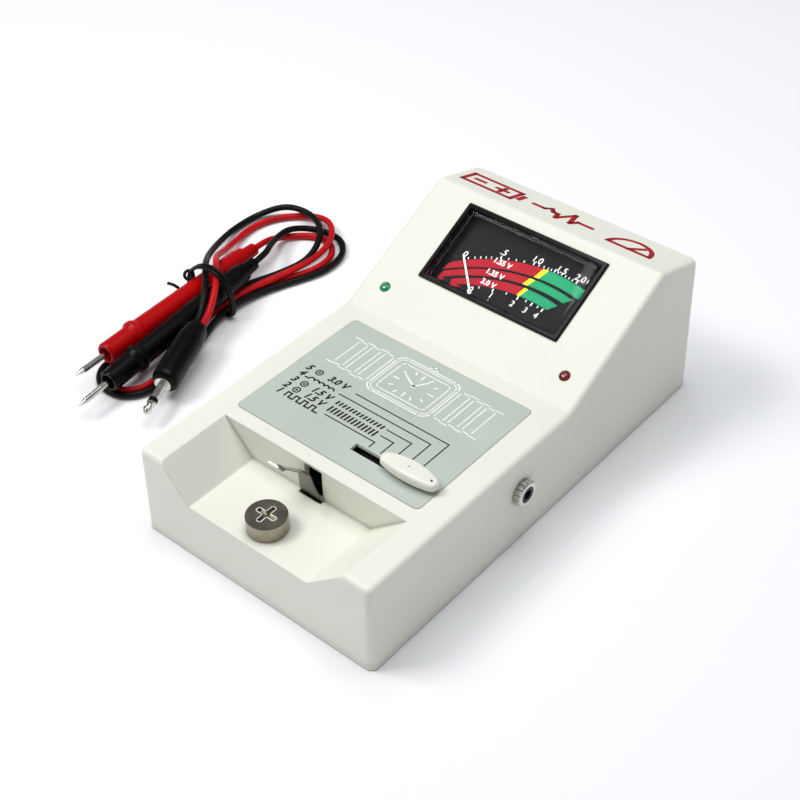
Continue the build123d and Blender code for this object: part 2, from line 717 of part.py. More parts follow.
def contact_arm():
    """The springy finger that is pressed down onto a cell on the post."""
    heel = (-73.2, 43.8)
    toe = (-75.0, 47.0)
    base = up_the_neck(ARM_HINGE + ARM_GAP / 2)
    return arm_strip(FilletPolyline(base, ARM_NECK, heel, toe, radius=[2.0, 1.3]))


def arm_bracket():
    """The arm's fixed root: a foot under the tray floor and the broad leaf up to the neck."""
    foot_z = (13.6, 14.0)
    foot = block((ARM_X - ARM_W / 2, ARM_X + ARM_W / 2), (TRAY_BACK_Y - 12, ARM_ROOT_Y + 0.2), foot_z)
    foot -= rod(ARM_X, TRAY_BACK_Y - 8, (12, 15), 1.0)
    top = up_the_neck(ARM_HINGE - ARM_GAP / 2)
    line = FilletPolyline(
        (ARM_ROOT_Y, foot_z[0]), (ARM_ROOT_Y, TRAY_FLOOR_Z), ARM_SHOULDER, top, radius=[8.0, 2.6]
    )
    return foot + arm_strip(line)


def bracket_screw():
    """The screw that holds the arm's bracket to the tray."""
    at = (ARM_X, TRAY_BACK_Y - 8)
    return rod(*at, (12.2, 13.6), 2.2) + rod(*at, (13.6, 18.5), 0.9)


# ---------------------------------------------------------------- jack
JACK_FACE_X = CASE_W / 2 - 0.30    # outer face of the leaning side wall at the jack


def jack_at(x):
    """The jack's frame, its Z pointing out to the right, at a distance x across."""
    return Plane(origin=(x, JACK_Y, JACK_Z), x_dir=(0, 1, 0), z_dir=(1, 0, 0))


def jack_body():
    """The jack's moulded body and its threaded metal bush."""
    half = 4.6
    inner_face = CASE_W / 2 - WALL - 0.55
    body = block((34, inner_face), (JACK_Y - half, JACK_Y + half), (JACK_Z - half, JACK_Z + half))
    body += jack_at(46) * extrude(Circle(3.0), 6.2)
    body -= jack_at(35) * extrude(Circle(JACK_BORE_R), 20)
    return body


def jack_nut():
    """The knurled round nut outside the case."""
    nut = jack_at(JACK_FACE_X + 0.05) * extrude(Circle(4.7), 2.5)
    outer = [e for e in nut.edges() if e.center().X > JACK_FACE_X + 2.4]
    nut = chamfer(outer, 0.4)
    nut -= jack_at(45) * extrude(Circle(3.0), 10)
    ribs = 30
    for rib in range(ribs):
        angle = 360 / ribs * rib
        groove = Pos(4.85, 0, 0) * Circle(0.28)
        nut -= jack_at(JACK_FACE_X - 0.5) * Rot(0, 0, angle) * extrude(groove, 4)
    return nut


# ---------------------------------------------------------------- battery and wiring
def battery_9v():
    """The nine-volt battery, lying on the door with its terminals to the right."""
    length, width, height = BATTERY
    low = PLATE_T + 0.3
    across = (BATTERY_Y - width / 2, BATTERY_Y + width / 2)
    cell = block((-length / 2, length / 2), across, (low, low + height))
    cell = fillet(cell.edges().filter_by(Axis.X), 1.5)
    return Pos(-2.5, 0, 0) * cell


def battery_snap():
    """The press-stud connector on the battery's end."""
    end = BATTERY[0] / 2 - 2.5
    mid = PLATE_T + 0.3 + BATTERY[2] / 2
    snap = block((end, end + 3.4), (BATTERY_Y - 12.5, BATTERY_Y + 12.5), (mid - 6, mid + 6))
    return fillet(snap.edges().filter_by(Axis.X), 2.0)


WIRE_D = 1.3


def red_wires():
    """Positive battery lead and the meter's right-hand lead."""
    board = BOARD_TOP_Z - BOARD_T - 0.4
    battery = [(28.2, 62.6, 14.0), (33.5, 61.0, 14.5), (37.0, 54.0, 16.0), (37.5, 42.0, 17.0),
               (36.5, 28.0, 17.0), (34.5, 15.0, 17.4), (34.0, 8.6, 19.3), (34.0, 6.6, board)]
    stud = SLOPE.from_local_coords(Vector(METER_X + 15, 30, -26.7))
    meter = [(stud.X, stud.Y, stud.Z), (14.6, 50.6, 21.6 + 2.2), (17.0, 44.0, 19.2), (21.0, 33.0, 14.4),
             (24.0, 21.5, 12.6), (24.6, 11.5, 15.4), (24.4, 5.2, 19.0), (24.4, 3.2, board)]
    return [tube(battery, WIRE_D), tube(meter, WIRE_D)]


def black_wires():
    """Negative battery lead and the meter's left-hand lead."""
    board = BOARD_TOP_Z - BOARD_T - 0.4
    battery = [(28.2, 66.4, 14.0), (35.0, 65.5, 14.5), (40.5, 57.0, 16.0), (41.2, 43.0, 17.0),
               (40.5, 28.0, 17.0), (38.6, 14.0, 17.4), (37.6, 3.4, 19.3), (37.6, 1.2, board)]
    stud = SLOPE.from_local_coords(Vector(METER_X - 15, 30, -26.7))
    meter = [(stud.X, stud.Y, stud.Z), (-15.4, 50.6, 23.8), (-17.0, 44.0, 19.2), (-21.0, 33.0, 14.4),
             (-24.0, 21.5, 12.6), (-24.6, 11.5, 15.4), (-24.4, 5.2, 19.0), (-24.4, 3.2, board)]
    return [tube(battery, WIRE_D), tube(meter, WIRE_D)]


# ---------------------------------------------------------------- test leads
# Each probe's axis runs from its handle's front face to its rear.
RED_FACE = (-120.8, -43.6, 8.7)
RED_REAR = (-126.2, 39.5, 7.6)
BLACK_FACE = (-108.6, -53.2, 8.0)
BLACK_REAR = (-116.6, 32.5, 10.5)
PLUG_FACE = (-91.8, -41.3, 8.6)
PLUG_REAR = (-103.6, -12.2, 11.0)
PLUG_PIN = 16.2           # how far the plug's tip stands out of the barrel
SLEEVE_END = -8.6         # along the plug's axis, forwards of the barrel's face
RING_END = -10.6
CORD_SIDE = 1.45          # each cord's distance from the plug's axis, at its rear


def unit(start, end):
    """The unit direction from start to end."""
    direction = (Vector(*end) - Vector(*start)).normalized()
    return (direction.X, direction.Y, direction.Z)


red_axis = unit(RED_FACE, RED_REAR)
black_axis = unit(BLACK_FACE, BLACK_REAR)
plug_axis = unit(PLUG_FACE, PLUG_REAR)


def probe_handle(face, axis):
    """A probe's handle: a finger collar near the front and a stepped rear."""
    r = PROBE_R
    form = turned([
        (0, 0), (r - 0.7, 0), (r - 0.2, 0.8), (r - 0.1, 12.5), (r + 0.2, 13.2), (r + 0.9, 14.4),
        (r + 0.9, 16.2), (r + 0.1, 17.4), (r, 19.0), (r - 0.2, PROBE_LEN - 10),
        (r - 0.7, PROBE_LEN - 6.5), (r - 1.6, PROBE_LEN - 5.8), (r - 1.9, PROBE_LEN),
        (0, PROBE_LEN),
    ])
    form -= turned([
        (0, -1), (CUP[0], -1), (CUP[0], CUP[1]), (PIN_R, CUP[1]), (PIN_R, PIN_SET), (0, PIN_SET),
    ])
    return axis_plane(face, axis) * form


def probe_pin(face, axis):
    """A probe's plated pin, pointed at the front and set into the handle."""
    form = turned([
        (0, -PIN_LEN), (0.25, -PIN_LEN + 0.2), (PIN_R - 0.2, -PIN_LEN + 3.0), (PIN_R, -PIN_LEN + 3.6),
        (PIN_R, PIN_SET), (0, PIN_SET),
    ])
    return axis_plane(face, axis) * form


def plug_barrel():
    """The moulded barrel of the plug, which both cords leave at the rear."""
    length = (Vector(*PLUG_REAR) - Vector(*PLUG_FACE)).length
    r = PLUG_R
    form = turned([
        (0, 0), (r - 1.2, 0), (r - 0.3, 0.9), (r, 2.5), (r, length - 8), (r - 0.8, length - 2.0),
        (r - 1.8, length), (0, length),
    ])
    form -= turned([(0, -1), (TANG_R, -1), (TANG_R, TANG_LEN), (0, TANG_LEN)])
    return axis_plane(PLUG_FACE, plug_axis) * form


def plug_sleeve():
    """The plug's metal sleeve: its root in the barrel, the washer and the long contact."""
    form = turned([
        (0, SLEEVE_END), (SLEEVE_R, SLEEVE_END), (SLEEVE_R, -WASHER[1]), (WASHER[0], -WASHER[1]),
        (WASHER[0], 0), (TANG_R, 0), (TANG_R, TANG_LEN), (0, TANG_LEN),
    ])
    return axis_plane(PLUG_FACE, plug_axis) * form


def plug_insulator():
    """The black ring between the plug's two contacts."""
    form = turned([
        (0, RING_END), (SLEEVE_R, RING_END), (SLEEVE_R, SLEEVE_END), (0, SLEEVE_END),
    ])
    return axis_plane(PLUG_FACE, plug_axis) * form


def plug_tip():
    """The plug's ball tip."""
    end = -PLUG_PIN
    form = turned([
        (0, end), (0.7, end + 0.15), (1.6, end + 1.6), (SLEEVE_R, end + 2.4), (1.15, end + 3.6),
        (1.2, end + 4.1), (SLEEVE_R, end + 4.8), (SLEEVE_R, RING_END), (0, RING_END),
    ])
    return axis_plane(PLUG_FACE, plug_axis) * form


across = Vector(-plug_axis[1], plug_axis[0], 0).normalized()
BLACK_EXIT = along(PLUG_REAR, (across.X, across.Y, 0), CORD_SIDE)
RED_EXIT = along(PLUG_REAR, (across.X, across.Y, 0), -CORD_SIDE)

# Both leads go over the probes, round the far loop, down the right side, round the front
# loop, back up the right side and over the top to their own probe.
BLACK_ROUTE = [
    BLACK_EXIT,
    along(BLACK_EXIT, plug_axis, 5.6),
    (-111.0, -0.6, 16.4),
    (-118.0, 6.8, 17.0),
    (-126.2, 14.2, 15.0),
    (-135.4, 24.0, 9.6),
    (-144.0, 37.2, 4.4),
    (-149.6, 52.2, 1.5),
    (-149.0, 66.4, 1.5),
    (-141.4, 75.0, 4.6),
    (-131.0, 77.2, 4.9),
    (-120.6, 74.0, 5.1),
    (-112.6, 65.6, 4.6),
    (-109.6, 54.6, 1.9),
    (-112.4, 42.0, 1.5),
    (-117.0, 29.0, 1.6),
    (-120.2, 15.6, 2.8),
    (-120.8, 3.6, 2.8),
    (-122.4, -11.4, 1.5),
    (-123.65, -24.4, 1.5),
    (-123.75, -35.0, 1.5),
    (-123.65, -45.0, 1.5),
    (-116.6, -52.0, 1.5),
    (-106.7, -52.0, 1.5),
    (-99.65, -45.0, 1.5),
    (-99.75, -35.0, 1.5),
    (-102.0, -22.4, 1.5),
    (-106.0, -9.0, 1.6),
    (-110.2, 3.6, 2.8),
    (-110.9, 15.6, 2.8),
    (-109.4, 28.6, 1.6),
    (-104.4, 41.4, 1.5),
    (-99.4, 53.6, 1.5),
    (-100.6, 66.0, 1.5),
    (-108.0, 74.2, 1.5),
    (-117.2, 74.8, 1.5),
    (-124.6, 70.6, 2.7),
    (-128.0, 62.6, 5.0),
    (-125.6, 53.0, 6.6),
    (-121.4, 45.4, 9.2),
    along(BLACK_FACE, black_axis, PROBE_LEN + 8),
    along(BLACK_FACE, black_axis, PROBE_LEN + 0.1),
]
RED_ROUTE = [
    RED_EXIT,
    along(RED_EXIT, plug_axis, 6.6),
    (-108.6, 2.2, 16.2),
    (-114.8, 9.6, 17.4),
    (-122.4, 16.6, 16.4),
    (-129.8, 23.6, 12.4),
    (-136.4, 33.0, 6.0),
    (-141.8, 44.8, 2.2),
    (-144.6, 57.0, 1.5),
    (-142.0, 68.0, 1.5),
    (-134.8, 76.6, 1.5),
    (-126.4, 80.2, 2.4),
    (-117.4, 77.6, 4.5),
    (-109.6, 69.6, 4.5),
    (-106.0, 58.6, 4.4),
    (-106.4, 46.8, 4.4),
    (-109.6, 33.0, 4.4),
    (-112.8, 21.6, 4.2),
    (-113.9, 11.4, 2.8),
    (-113.7, 2.4, 2.8),
    (-109.8, -9.6, 1.5),
    (-105.2, -22.6, 1.5),
    (-102.6, -34.4, 1.5),
    (-102.5, -43.8, 1.5),
    (-107.9, -49.15, 1.5),
    (-115.4, -49.15, 1.5),
    (-120.8, -43.8, 1.5),
    (-120.8, -34.4, 1.5),
    (-120.6, -23.0, 1.5),
    (-119.4, -10.4, 1.5),
    (-117.4, 2.6, 2.8),
    (-117.0, 13.4, 2.8),
    (-113.9, 26.4, 1.6),
    (-108.4, 39.4, 1.5),
    (-103.4, 51.4, 1.5),
    (-103.4, 62.0, 1.5),
    (-110.0, 70.0, 1.5),
    (-118.4, 69.8, 1.5),
    (-125.0, 65.6, 1.5),
    (-129.8, 58.6, 1.9),
    along(RED_FACE, red_axis, PROBE_LEN + 8),
    along(RED_FACE, red_axis, PROBE_LEN + 0.1),
]


def twist_tie():
    """The wire tie round the whole bundle, with its twisted end."""
    at = 9.0
    ring = [
        (-108.4, at, 0.75), (-122.6, at, 0.75), (-128.8, at, 2.0), (-130.6, at, 7.0),
        (-128.6, at, 13.2), (-122.2, at, 18.8), (-113.4, at, 19.8), (-108.6, at, 14.6),
        (-107.2, at, 7.0),
    ]
    path = Polyline(*ring, close=True)
    section = Plane(origin=path @ 0, z_dir=path % 0) * Circle(0.6)
    loop = sweep(section, path=path, transition=Transition.ROUND)
    tail = tube([(-130.4, at, 7.6), (-134.6, at - 2, 9.0), (-139.0, at - 3.0, 8.2)], 1.2)
    return loop + tail


SINGLE_PARTS = {
    "upper_case": upper_case,
    "base_plate": base_plate,
    "battery_door": battery_door,
    "label_plate": label_plate,
    "meter_frame": meter_frame,
    "meter_lens": meter_lens,
    "meter_housing": meter_housing,
    "meter_dial": meter_dial,
    "meter_magnet": meter_magnet,
    "meter_yoke": meter_yoke,
    "meter_pointer": pointer,
    "moving_coil": moving_coil,
    "hairspring": hairspring,
    "selector_knob": selector_knob,
    "selector_slider": selector_slider,
    "slide_switch": slide_switch,
    "circuit_board": circuit_board,
    "coil_bobbin": coil_bobbin,
    "pickup_coil": pickup_coil,
    "pickup_core": pickup_core,
    "contact_post": contact_post,
    "post_nut": post_nut,
    "contact_arm": contact_arm,
    "arm_bracket": arm_bracket,
    "bracket_screw": bracket_screw,
    "jack_body": jack_body,
    "jack_nut": jack_nut,
    "battery_9v": battery_9v,
    "battery_snap": battery_snap,
    "plug_barrel": plug_barrel,
    "plug_sleeve": plug_sleeve,
    "plug_insulator": plug_insulator,
    "plug_tip": plug_tip,
    "twist_tie": twist_tie,
}
GROUPED_PARTS = {
    "case_screws": case_screws,
    "meter_screws": meter_screws,
    "jewel_screws": jewel_screws,
    "meter_staff": meter_staff,
    "meter_terminals": meter_terminals,
    "terminal_nuts": terminal_nuts,
    "board_screws": board_screws,
    "integrated_circuits": integrated_circuits,
    "resistors": resistors,
    "capacitors": capacitors,
    "trimmers": trimmers,
    "red_wires": red_wires,
    "black_wires": black_wires,
}

for node, make in SINGLE_PARTS.items():
    write(node, make())
for node, make in GROUPED_PARTS.items():
    write(node, *make())
for name, side in (("green", -1), ("red", 1)):
    write(f"{name}_led", led(side))
    write(f"{name}_led_clip", led_clip(side))
write("upper_bridge", bridge((-7.0, -6.2), (-10.0, -7.0)))
write("lower_bridge", bridge((-19.4, -18.6), (-18.6, -17.0)))
for name, face, axis in (("red", RED_FACE, red_axis), ("black", BLACK_FACE, black_axis)):
    write(f"{name}_probe_handle", probe_handle(face, axis))
    write(f"{name}_probe_pin", probe_pin(face, axis))
for name, route in (("black", BLACK_ROUTE), ("red", RED_ROUTE)):
    lead = tube(route, CORD_D)
    write(f"{name}_cord", lead)
    length = route_path(route).length
    share = lead.volume / (math.pi * CORD_D ** 2 / 4 * length)
    print(f"{name} cord: {length:.0f} mm, volume {share:.3f} of its section times its length")
    print("radii:", [round(r, 1) for r in corner_radii(route)])
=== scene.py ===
import math

import bpy
from mathutils import Euler, Matrix, Vector


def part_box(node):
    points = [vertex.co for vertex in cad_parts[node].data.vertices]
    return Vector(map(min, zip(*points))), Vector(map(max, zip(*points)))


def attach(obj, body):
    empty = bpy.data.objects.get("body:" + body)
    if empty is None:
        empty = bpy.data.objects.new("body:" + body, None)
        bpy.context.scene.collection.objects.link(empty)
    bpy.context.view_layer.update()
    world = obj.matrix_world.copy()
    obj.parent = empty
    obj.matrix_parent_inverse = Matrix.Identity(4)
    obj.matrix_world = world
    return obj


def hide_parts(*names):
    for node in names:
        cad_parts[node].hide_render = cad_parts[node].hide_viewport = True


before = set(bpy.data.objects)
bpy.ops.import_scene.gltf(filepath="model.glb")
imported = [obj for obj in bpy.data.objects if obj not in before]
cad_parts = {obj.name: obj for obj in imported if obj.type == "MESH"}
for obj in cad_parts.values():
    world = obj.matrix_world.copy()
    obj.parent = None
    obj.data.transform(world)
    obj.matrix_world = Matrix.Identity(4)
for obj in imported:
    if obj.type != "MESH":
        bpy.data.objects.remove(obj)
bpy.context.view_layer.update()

MM = 0.001

# ---------------------------------------------------------------- the slope's frame
# The meter stands on a slope behind the flat deck. These repeat the CAD's dimensions, in mm.
CREASE_Y = 12.5
DECK_Z = 35.0
RIDGE_Y = 64.5
RIDGE_Z = 61.6
BACK_TOP_Y = 89.0
BACK_TOP_Z = 54.4
SLOPE = math.atan2(RIDGE_Z - DECK_Z, RIDGE_Y - CREASE_Y)
STRIP = math.atan2(BACK_TOP_Z - RIDGE_Z, BACK_TOP_Y - RIDGE_Y)
CORD_D = 2.6              # the leads' cords, mm


def tilted(x, y, z, angle):
    """A frame at a point in mm, whose Y leans up from the row's Y by an angle."""
    return Matrix.Translation(Vector((x, y, z)) * MM) @ Matrix.Rotation(angle, 4, "X")


ON_SLOPE = tilted(0, CREASE_Y, DECK_Z, SLOPE)
ON_STRIP = tilted(0, (RIDGE_Y + BACK_TOP_Y) / 2, (RIDGE_Z + BACK_TOP_Z) / 2, STRIP)
ON_LABEL = Matrix.Translation((0, 0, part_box("label_plate")[1].z))


# ---------------------------------------------------------------- camera
CAMERA_TURN = (40.98, 40.87, -1.22)           # azimuth, elevation and roll, degrees
CAMERA_PLACE = (0.2524, -0.3067, 0.3668)      # metres
CAMERA_LENS = 68.88                           # mm, on a 36 mm sensor


def add_camera():
    """The photograph's view: 41 degrees round to the right and 41 degrees above."""
    camera = bpy.data.objects.new("camera", bpy.data.cameras.new("camera"))
    camera.data.lens = CAMERA_LENS
    camera.data.sensor_width = 36.0
    camera.data.clip_start = 0.01
    camera.data.clip_end = 10.0
    azimuth, elevation, roll = (math.radians(a) for a in CAMERA_TURN)
    turn = Euler((math.pi / 2 - elevation, 0, azimuth)).to_matrix().to_4x4()
    place = Matrix.Translation(CAMERA_PLACE)
    camera.matrix_world = place @ turn @ Matrix.Rotation(roll, 4, "Z")
    bpy.context.scene.collection.objects.link(camera)
    bpy.context.scene.camera = camera


# ---------------------------------------------------------------- material nodes
def shade(color, amount):
    """A colour made lighter or darker by a factor."""
    return tuple(min(1.0, c * amount) for c in color)


class Nodes:
    """A material's node tree, with short calls for the nodes used here."""

    def __init__(self, name, color, roughness, metallic=0.0):
        self.material = bpy.data.materials.new(name)
        self.material.use_nodes = True
        self.tree = self.material.node_tree
        self.shader = self.tree.nodes["Principled BSDF"]
        self.shader.inputs["Base Color"].default_value = (*color, 1.0)
        self.shader.inputs["Roughness"].default_value = roughness
        self.shader.inputs["Metallic"].default_value = metallic
        self.coordinates = self.add("ShaderNodeTexCoord").outputs["Object"]

    def add(self, kind, **settings):
        """A new node of a kind, with its settings."""
        node = self.tree.nodes.new(kind)
        for key, value in settings.items():
            setattr(node, key, value)
        return node

    def link(self, source, target):
        """Join an output socket to an input socket."""
        self.tree.links.new(source, target)

    def stretched(self, scale):
        """The object's coordinates, scaled along each axis."""
        mapping = self.add("ShaderNodeMapping")
        mapping.inputs["Scale"].default_value = scale
        self.link(self.coordinates, mapping.inputs["Vector"])
        return mapping.outputs["Vector"]

    def noise(self, scale, detail=4.0, vector=None, roughness=0.5):
        """Cloudy noise from 0 to 1, with about so many features to the metre."""
        node = self.add("ShaderNodeTexNoise")
        node.inputs["Scale"].default_value = scale
        node.inputs["Detail"].default_value = detail
        node.inputs["Roughness"].default_value = roughness
        self.link(vector or self.coordinates, node.inputs["Vector"])
        return node.outputs["Fac"]

    def cells(self, scale):
        """The distance from the nearest of many scattered points."""
        node = self.add("ShaderNodeTexVoronoi", feature="F1")
        node.inputs["Scale"].default_value = scale
        self.link(self.coordinates, node.inputs["Vector"])
        return node.outputs["Distance"]

    def spread(self, value, low, high, start=0.0, end=1.0):
        """A value stretched from low..high to start..end."""
        node = self.add("ShaderNodeMapRange")
        node.inputs["From Min"].default_value = low
        node.inputs["From Max"].default_value = high
        node.inputs["To Min"].default_value = start
        node.inputs["To Max"].default_value = end
        self.link(value, node.inputs["Value"])
        return node.outputs["Result"]

    def mix(self, factor, first, second):
        """A colour between two colours or colour sockets."""
        node = self.add("ShaderNodeMix", data_type="RGBA")
        self.link(factor, node.inputs["Factor"])
        for key, color in ((6, first), (7, second)):
            if isinstance(color, tuple):
                node.inputs[key].default_value = (*color, 1.0)
            else:
                self.link(color, node.inputs[key])
        return node.outputs[2]

    def math(self, operation, first, second=0.0):
        """A math operation on one or two numbers or sockets."""
        node = self.add("ShaderNodeMath", operation=operation)
        for place, value in ((0, first), (1, second)):
            if isinstance(value, (int, float)):
                node.inputs[place].default_value = value
            else:
                self.link(value, node.inputs[place])
        return node.outputs[0]

    def creases(self, reach):
        """1 in the open, falling to 0 in inside corners narrower than the reach in metres."""
        node = self.add("ShaderNodeAmbientOcclusion", samples=8)
        node.inputs["Distance"].default_value = reach
        return node.outputs["AO"]

    def soften_edges(self, radius):
        """Round the look of sharp edges by a radius in metres."""
        node = self.add("ShaderNodeBevel", samples=6)
        node.inputs["Radius"].default_value = radius
        self.link(node.outputs["Normal"], self.shader.inputs["Normal"])

    def color(self, socket):
        """Take the surface's colour from a socket."""
        self.link(socket, self.shader.inputs["Base Color"])

    def tint(self, pattern, base, dark, light, low=0.3, high=0.7):
        """Colour the surface by a pattern, from a darker to a lighter shade of the base."""
        self.color(self.mix(self.spread(pattern, low, high), shade(base, dark), shade(base, light)))

    def roughness(self, value, low, high):
        """Vary the roughness by a pattern, from low to high."""
        self.link(self.spread(value, 0.3, 0.7, low, high), self.shader.inputs["Roughness"])

    def bump(self, height, distance, strength=1.0):
        """A bump of that height in metres, over any bump already there."""
        node = self.add("ShaderNodeBump")
        node.inputs["Strength"].default_value = strength
        node.inputs["Distance"].default_value = distance
        self.link(height, node.inputs["Height"])
        normal = self.shader.inputs["Normal"]
        if normal.is_linked:
            self.link(normal.links[0].from_socket, node.inputs["Normal"])
        self.link(node.outputs["Normal"], normal)

    def set(self, **values):
        """Plain values on the shader's own sockets."""
        for key, value in values.items():
            self.shader.inputs[key.replace("_", " ")].default_value = value
        return self.material


def case_plastic():
    """Off-white ABS with a fine eroded texture, slightly dirty in patches, with painted shade in inside
    corners.
    """
    base = (0.800, 0.790, 0.705)
    m = Nodes("case_plastic", base, 0.42)
    m.soften_edges(0.0008)
    cloud = m.noise(14, 3)
    clean = m.mix(m.spread(cloud, 0.3, 0.7), shade(base, 0.965), shade(base, 1.02))
    # Painted shade: ambient occlusion darkens inside corners, and wherever the floor or another piece
    # comes within 3 mm, to 0.6 of the base colour.
    painted_shade = shade(base, 0.60)
    m.color(m.mix(m.spread(m.creases(0.003), 0.35, 0.80), painted_shade, clean))
    m.roughness(m.noise(300, 3), 0.38, 0.48)
    m.bump(m.noise(2600, 2), 0.00002, 0.55)
    m.bump(m.noise(60, 2), 0.00012, 0.12)
    return m.set(Specular_IOR_Level=0.45, Subsurface_Weight=0.04)


def label_metal():
    """Printed aluminium: a grey-green coat with fine grain and faint rubbing."""
    base = (0.455, 0.515, 0.465)
    m = Nodes("label_metal", base, 0.36)
    grain = m.noise(900, 3, m.stretched((1.0, 0.12, 1.0)))
    rub = m.noise(26, 4)
    tint = m.mix(m.spread(rub, 0.35, 0.7), shade(base, 0.97), shade(base, 1.05))
    m.color(m.mix(m.spread(grain, 0.4, 0.9, 0, 0.35), tint, shade(base, 1.12)))
    m.roughness(rub, 0.30, 0.42)
    m.bump(grain, 0.00001, 0.3)
    return m.set(Specular_IOR_Level=0.55)


def knob_plastic():
    """Ivory moulded plastic with a faintly uneven polish."""
    base = (0.820, 0.806, 0.716)
    m = Nodes("knob_plastic", base, 0.25)
    m.tint(m.noise(160, 3), base, 0.98, 1.01)
    m.roughness(m.noise(700, 3), 0.25, 0.31)
    m.bump(m.noise(300, 2), 0.00001, 0.10)
    return m.set(Specular_IOR_Level=0.5, Coat_Weight=0.15, Subsurface_Weight=0.05)


def gloss_plastic(name, base, grain=500, low=0.14, high=0.30, shine=0.5):
    """Shiny moulded plastic with faint flow marks and fine scratches."""
    m = Nodes(name, base, low)
    scratch = m.noise(grain, 5, m.stretched((1.0, 0.06, 1.0)))
    m.tint(m.noise(60, 3), base, 0.85, 1.15)
    m.roughness(scratch, low, high)
    m.bump(m.noise(180, 2), 0.00004, 0.2)
    m.bump(scratch, 0.00001, 0.15)
    return m.set(Specular_IOR_Level=shine)


def satin_plastic(name, base):
    """Matt moulded plastic with a fine texture."""
    m = Nodes(name, base, 0.5)
    m.tint(m.noise(90, 3), base, 0.88, 1.1)
    m.roughness(m.noise(600, 3), 0.42, 0.58)
    m.bump(m.noise(2200, 2), 0.00002, 0.4)
    return m.set(Specular_IOR_Level=0.45)


def plated(name, base, low, high, pitted=False):
    """Plated metal: bright, with faint streaks, fine dents and worn patches."""
    m = Nodes(name, base, low, 1.0)
    cloud = m.noise(170, 4)
    streak = m.noise(1400, 4, m.stretched((1.0, 1.0, 0.08)))
    m.tint(cloud, base, 0.82, 1.05, 0.35)
    m.roughness(cloud, low, high)
    m.bump(streak, 0.000006, 0.25)
    m.bump(m.noise(240, 2), 0.00002, 0.15)
    if pitted:
        pits = m.spread(m.cells(900), 0.0, 0.22, -1.0, 0.0)
        m.bump(pits, 0.00003, 0.4)
        m.bump(m.noise(520, 5, roughness=0.7), 0.00010, 0.35)
    return m.material


def knurled_chrome():
    """Chrome with straight knurling round the jack nut's rim, whose axis runs along X."""
    ridge_count = 44
    low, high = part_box("jack_nut")
    m = Nodes("knurled_chrome", (0.70, 0.69, 0.66), 0.12, 1.0)
    mapping = m.add("ShaderNodeMapping")
    mapping.inputs["Location"].default_value = (0, -(low.y + high.y) / 2, -(low.z + high.z) / 2)
    m.link(m.coordinates, mapping.inputs["Vector"])
    split = m.add("ShaderNodeSeparateXYZ")
    m.link(mapping.outputs["Vector"], split.inputs["Vector"])
    turn = m.math("ARCTAN2", split.outputs["Y"], split.outputs["Z"])
    ridges = m.math("SINE", m.math("MULTIPLY", turn, ridge_count))
    facing = m.add("ShaderNodeSeparateXYZ")
    m.link(m.add("ShaderNodeNewGeometry").outputs["Normal"], facing.inputs["Vector"])
    rim = m.math("SUBTRACT", 1.0, m.math("ABSOLUTE", facing.outputs["X"]))
    m.bump(m.math("MULTIPLY", ridges, rim), 0.00016)
    m.roughness(m.noise(300, 3), 0.08, 0.20)
    return m.material


def metal(name, base, roughness):
    """Plain metal with a fine drawn grain."""
    m = Nodes(name, base, roughness, 1.0)
    grain = m.noise(1200, 4, m.stretched((1.0, 0.1, 0.1)))
    m.tint(grain, base, 0.8, 1.1)
    m.roughness(grain, roughness * 0.8, roughness * 1.3)
    m.bump(grain, 0.00001, 0.3)
    return m.material


def printed(name, base, roughness=0.5, shine=0.4):
    """Screen-printed ink, slightly uneven."""
    m = Nodes(name, base, roughness)
    speckle = m.noise(1500, 3)
    m.tint(speckle, base, 0.85, 1.12, 0.3, 0.8)
    m.roughness(speckle, roughness * 0.85, roughness * 1.15)
    return m.set(Specular_IOR_Level=shine)


def sheath(name, base):
    """Soft PVC cord sheath with a faint bloom."""
    m = Nodes(name, base, 0.32)
    m.tint(m.noise(120, 4), base, 0.8, 1.2, 0.3, 0.75)
    m.roughness(m.noise(500, 4), 0.34, 0.52)
    m.bump(m.noise(900, 3), 0.00002, 0.25)
    return m.set(Specular_IOR_Level=0.16)


def clear_lens():
    """Clear acrylic with the faintest wiping marks."""
    m = Nodes("clear_lens", (0.97, 0.98, 1.0), 0.02)
    wiped = m.noise(240, 4, m.stretched((0.15, 1.0, 1.0)))
    m.roughness(wiped, 0.0, 0.015)
    return m.set(Transmission_Weight=1.0, IOR=1.18)


def lamp_plastic(name, base, glow):
    """Tinted epoxy of an indicator lamp."""
    m = Nodes(name, base, 0.12)
    cloud = m.noise(500, 2)
    m.tint(cloud, base, 0.8, 1.2)
    m.roughness(cloud, 0.08, 0.2)
    return m.set(Emission_Color=(*base, 1.0), Emission_Strength=glow, Coat_Weight=0.5)


def board_green():
    """Green solder mask over faint copper tracks."""
    m = Nodes("board_green", (0.008, 0.05, 0.02), 0.35)
    tracks = m.add("ShaderNodeTexBrick")
    tracks.inputs["Scale"].default_value = 160
    tracks.inputs["Color1"].default_value = (0.006, 0.045, 0.018, 1)
    tracks.inputs["Color2"].default_value = (0.008, 0.06, 0.024, 1)
    tracks.inputs["Mortar"].default_value = (0.02, 0.11, 0.045, 1)
    m.link(m.coordinates, tracks.inputs["Vector"])
    m.color(tracks.outputs["Color"])
    m.bump(tracks.outputs["Fac"], 0.00004, 0.4)
    return m.material


def banded(name, base, stripes):
    """A resistor's enamel with coloured rings across its length."""
    m = Nodes(name, base, 0.4)
    wave = m.add("ShaderNodeTexWave", bands_direction="X")
    wave.inputs["Scale"].default_value = 260
    m.link(m.coordinates, wave.inputs["Vector"])
    m.color(m.mix(m.spread(wave.outputs["Fac"], 0.75, 0.8), base, stripes))
    m.roughness(m.noise(800, 2), 0.3, 0.5)
    return m.material


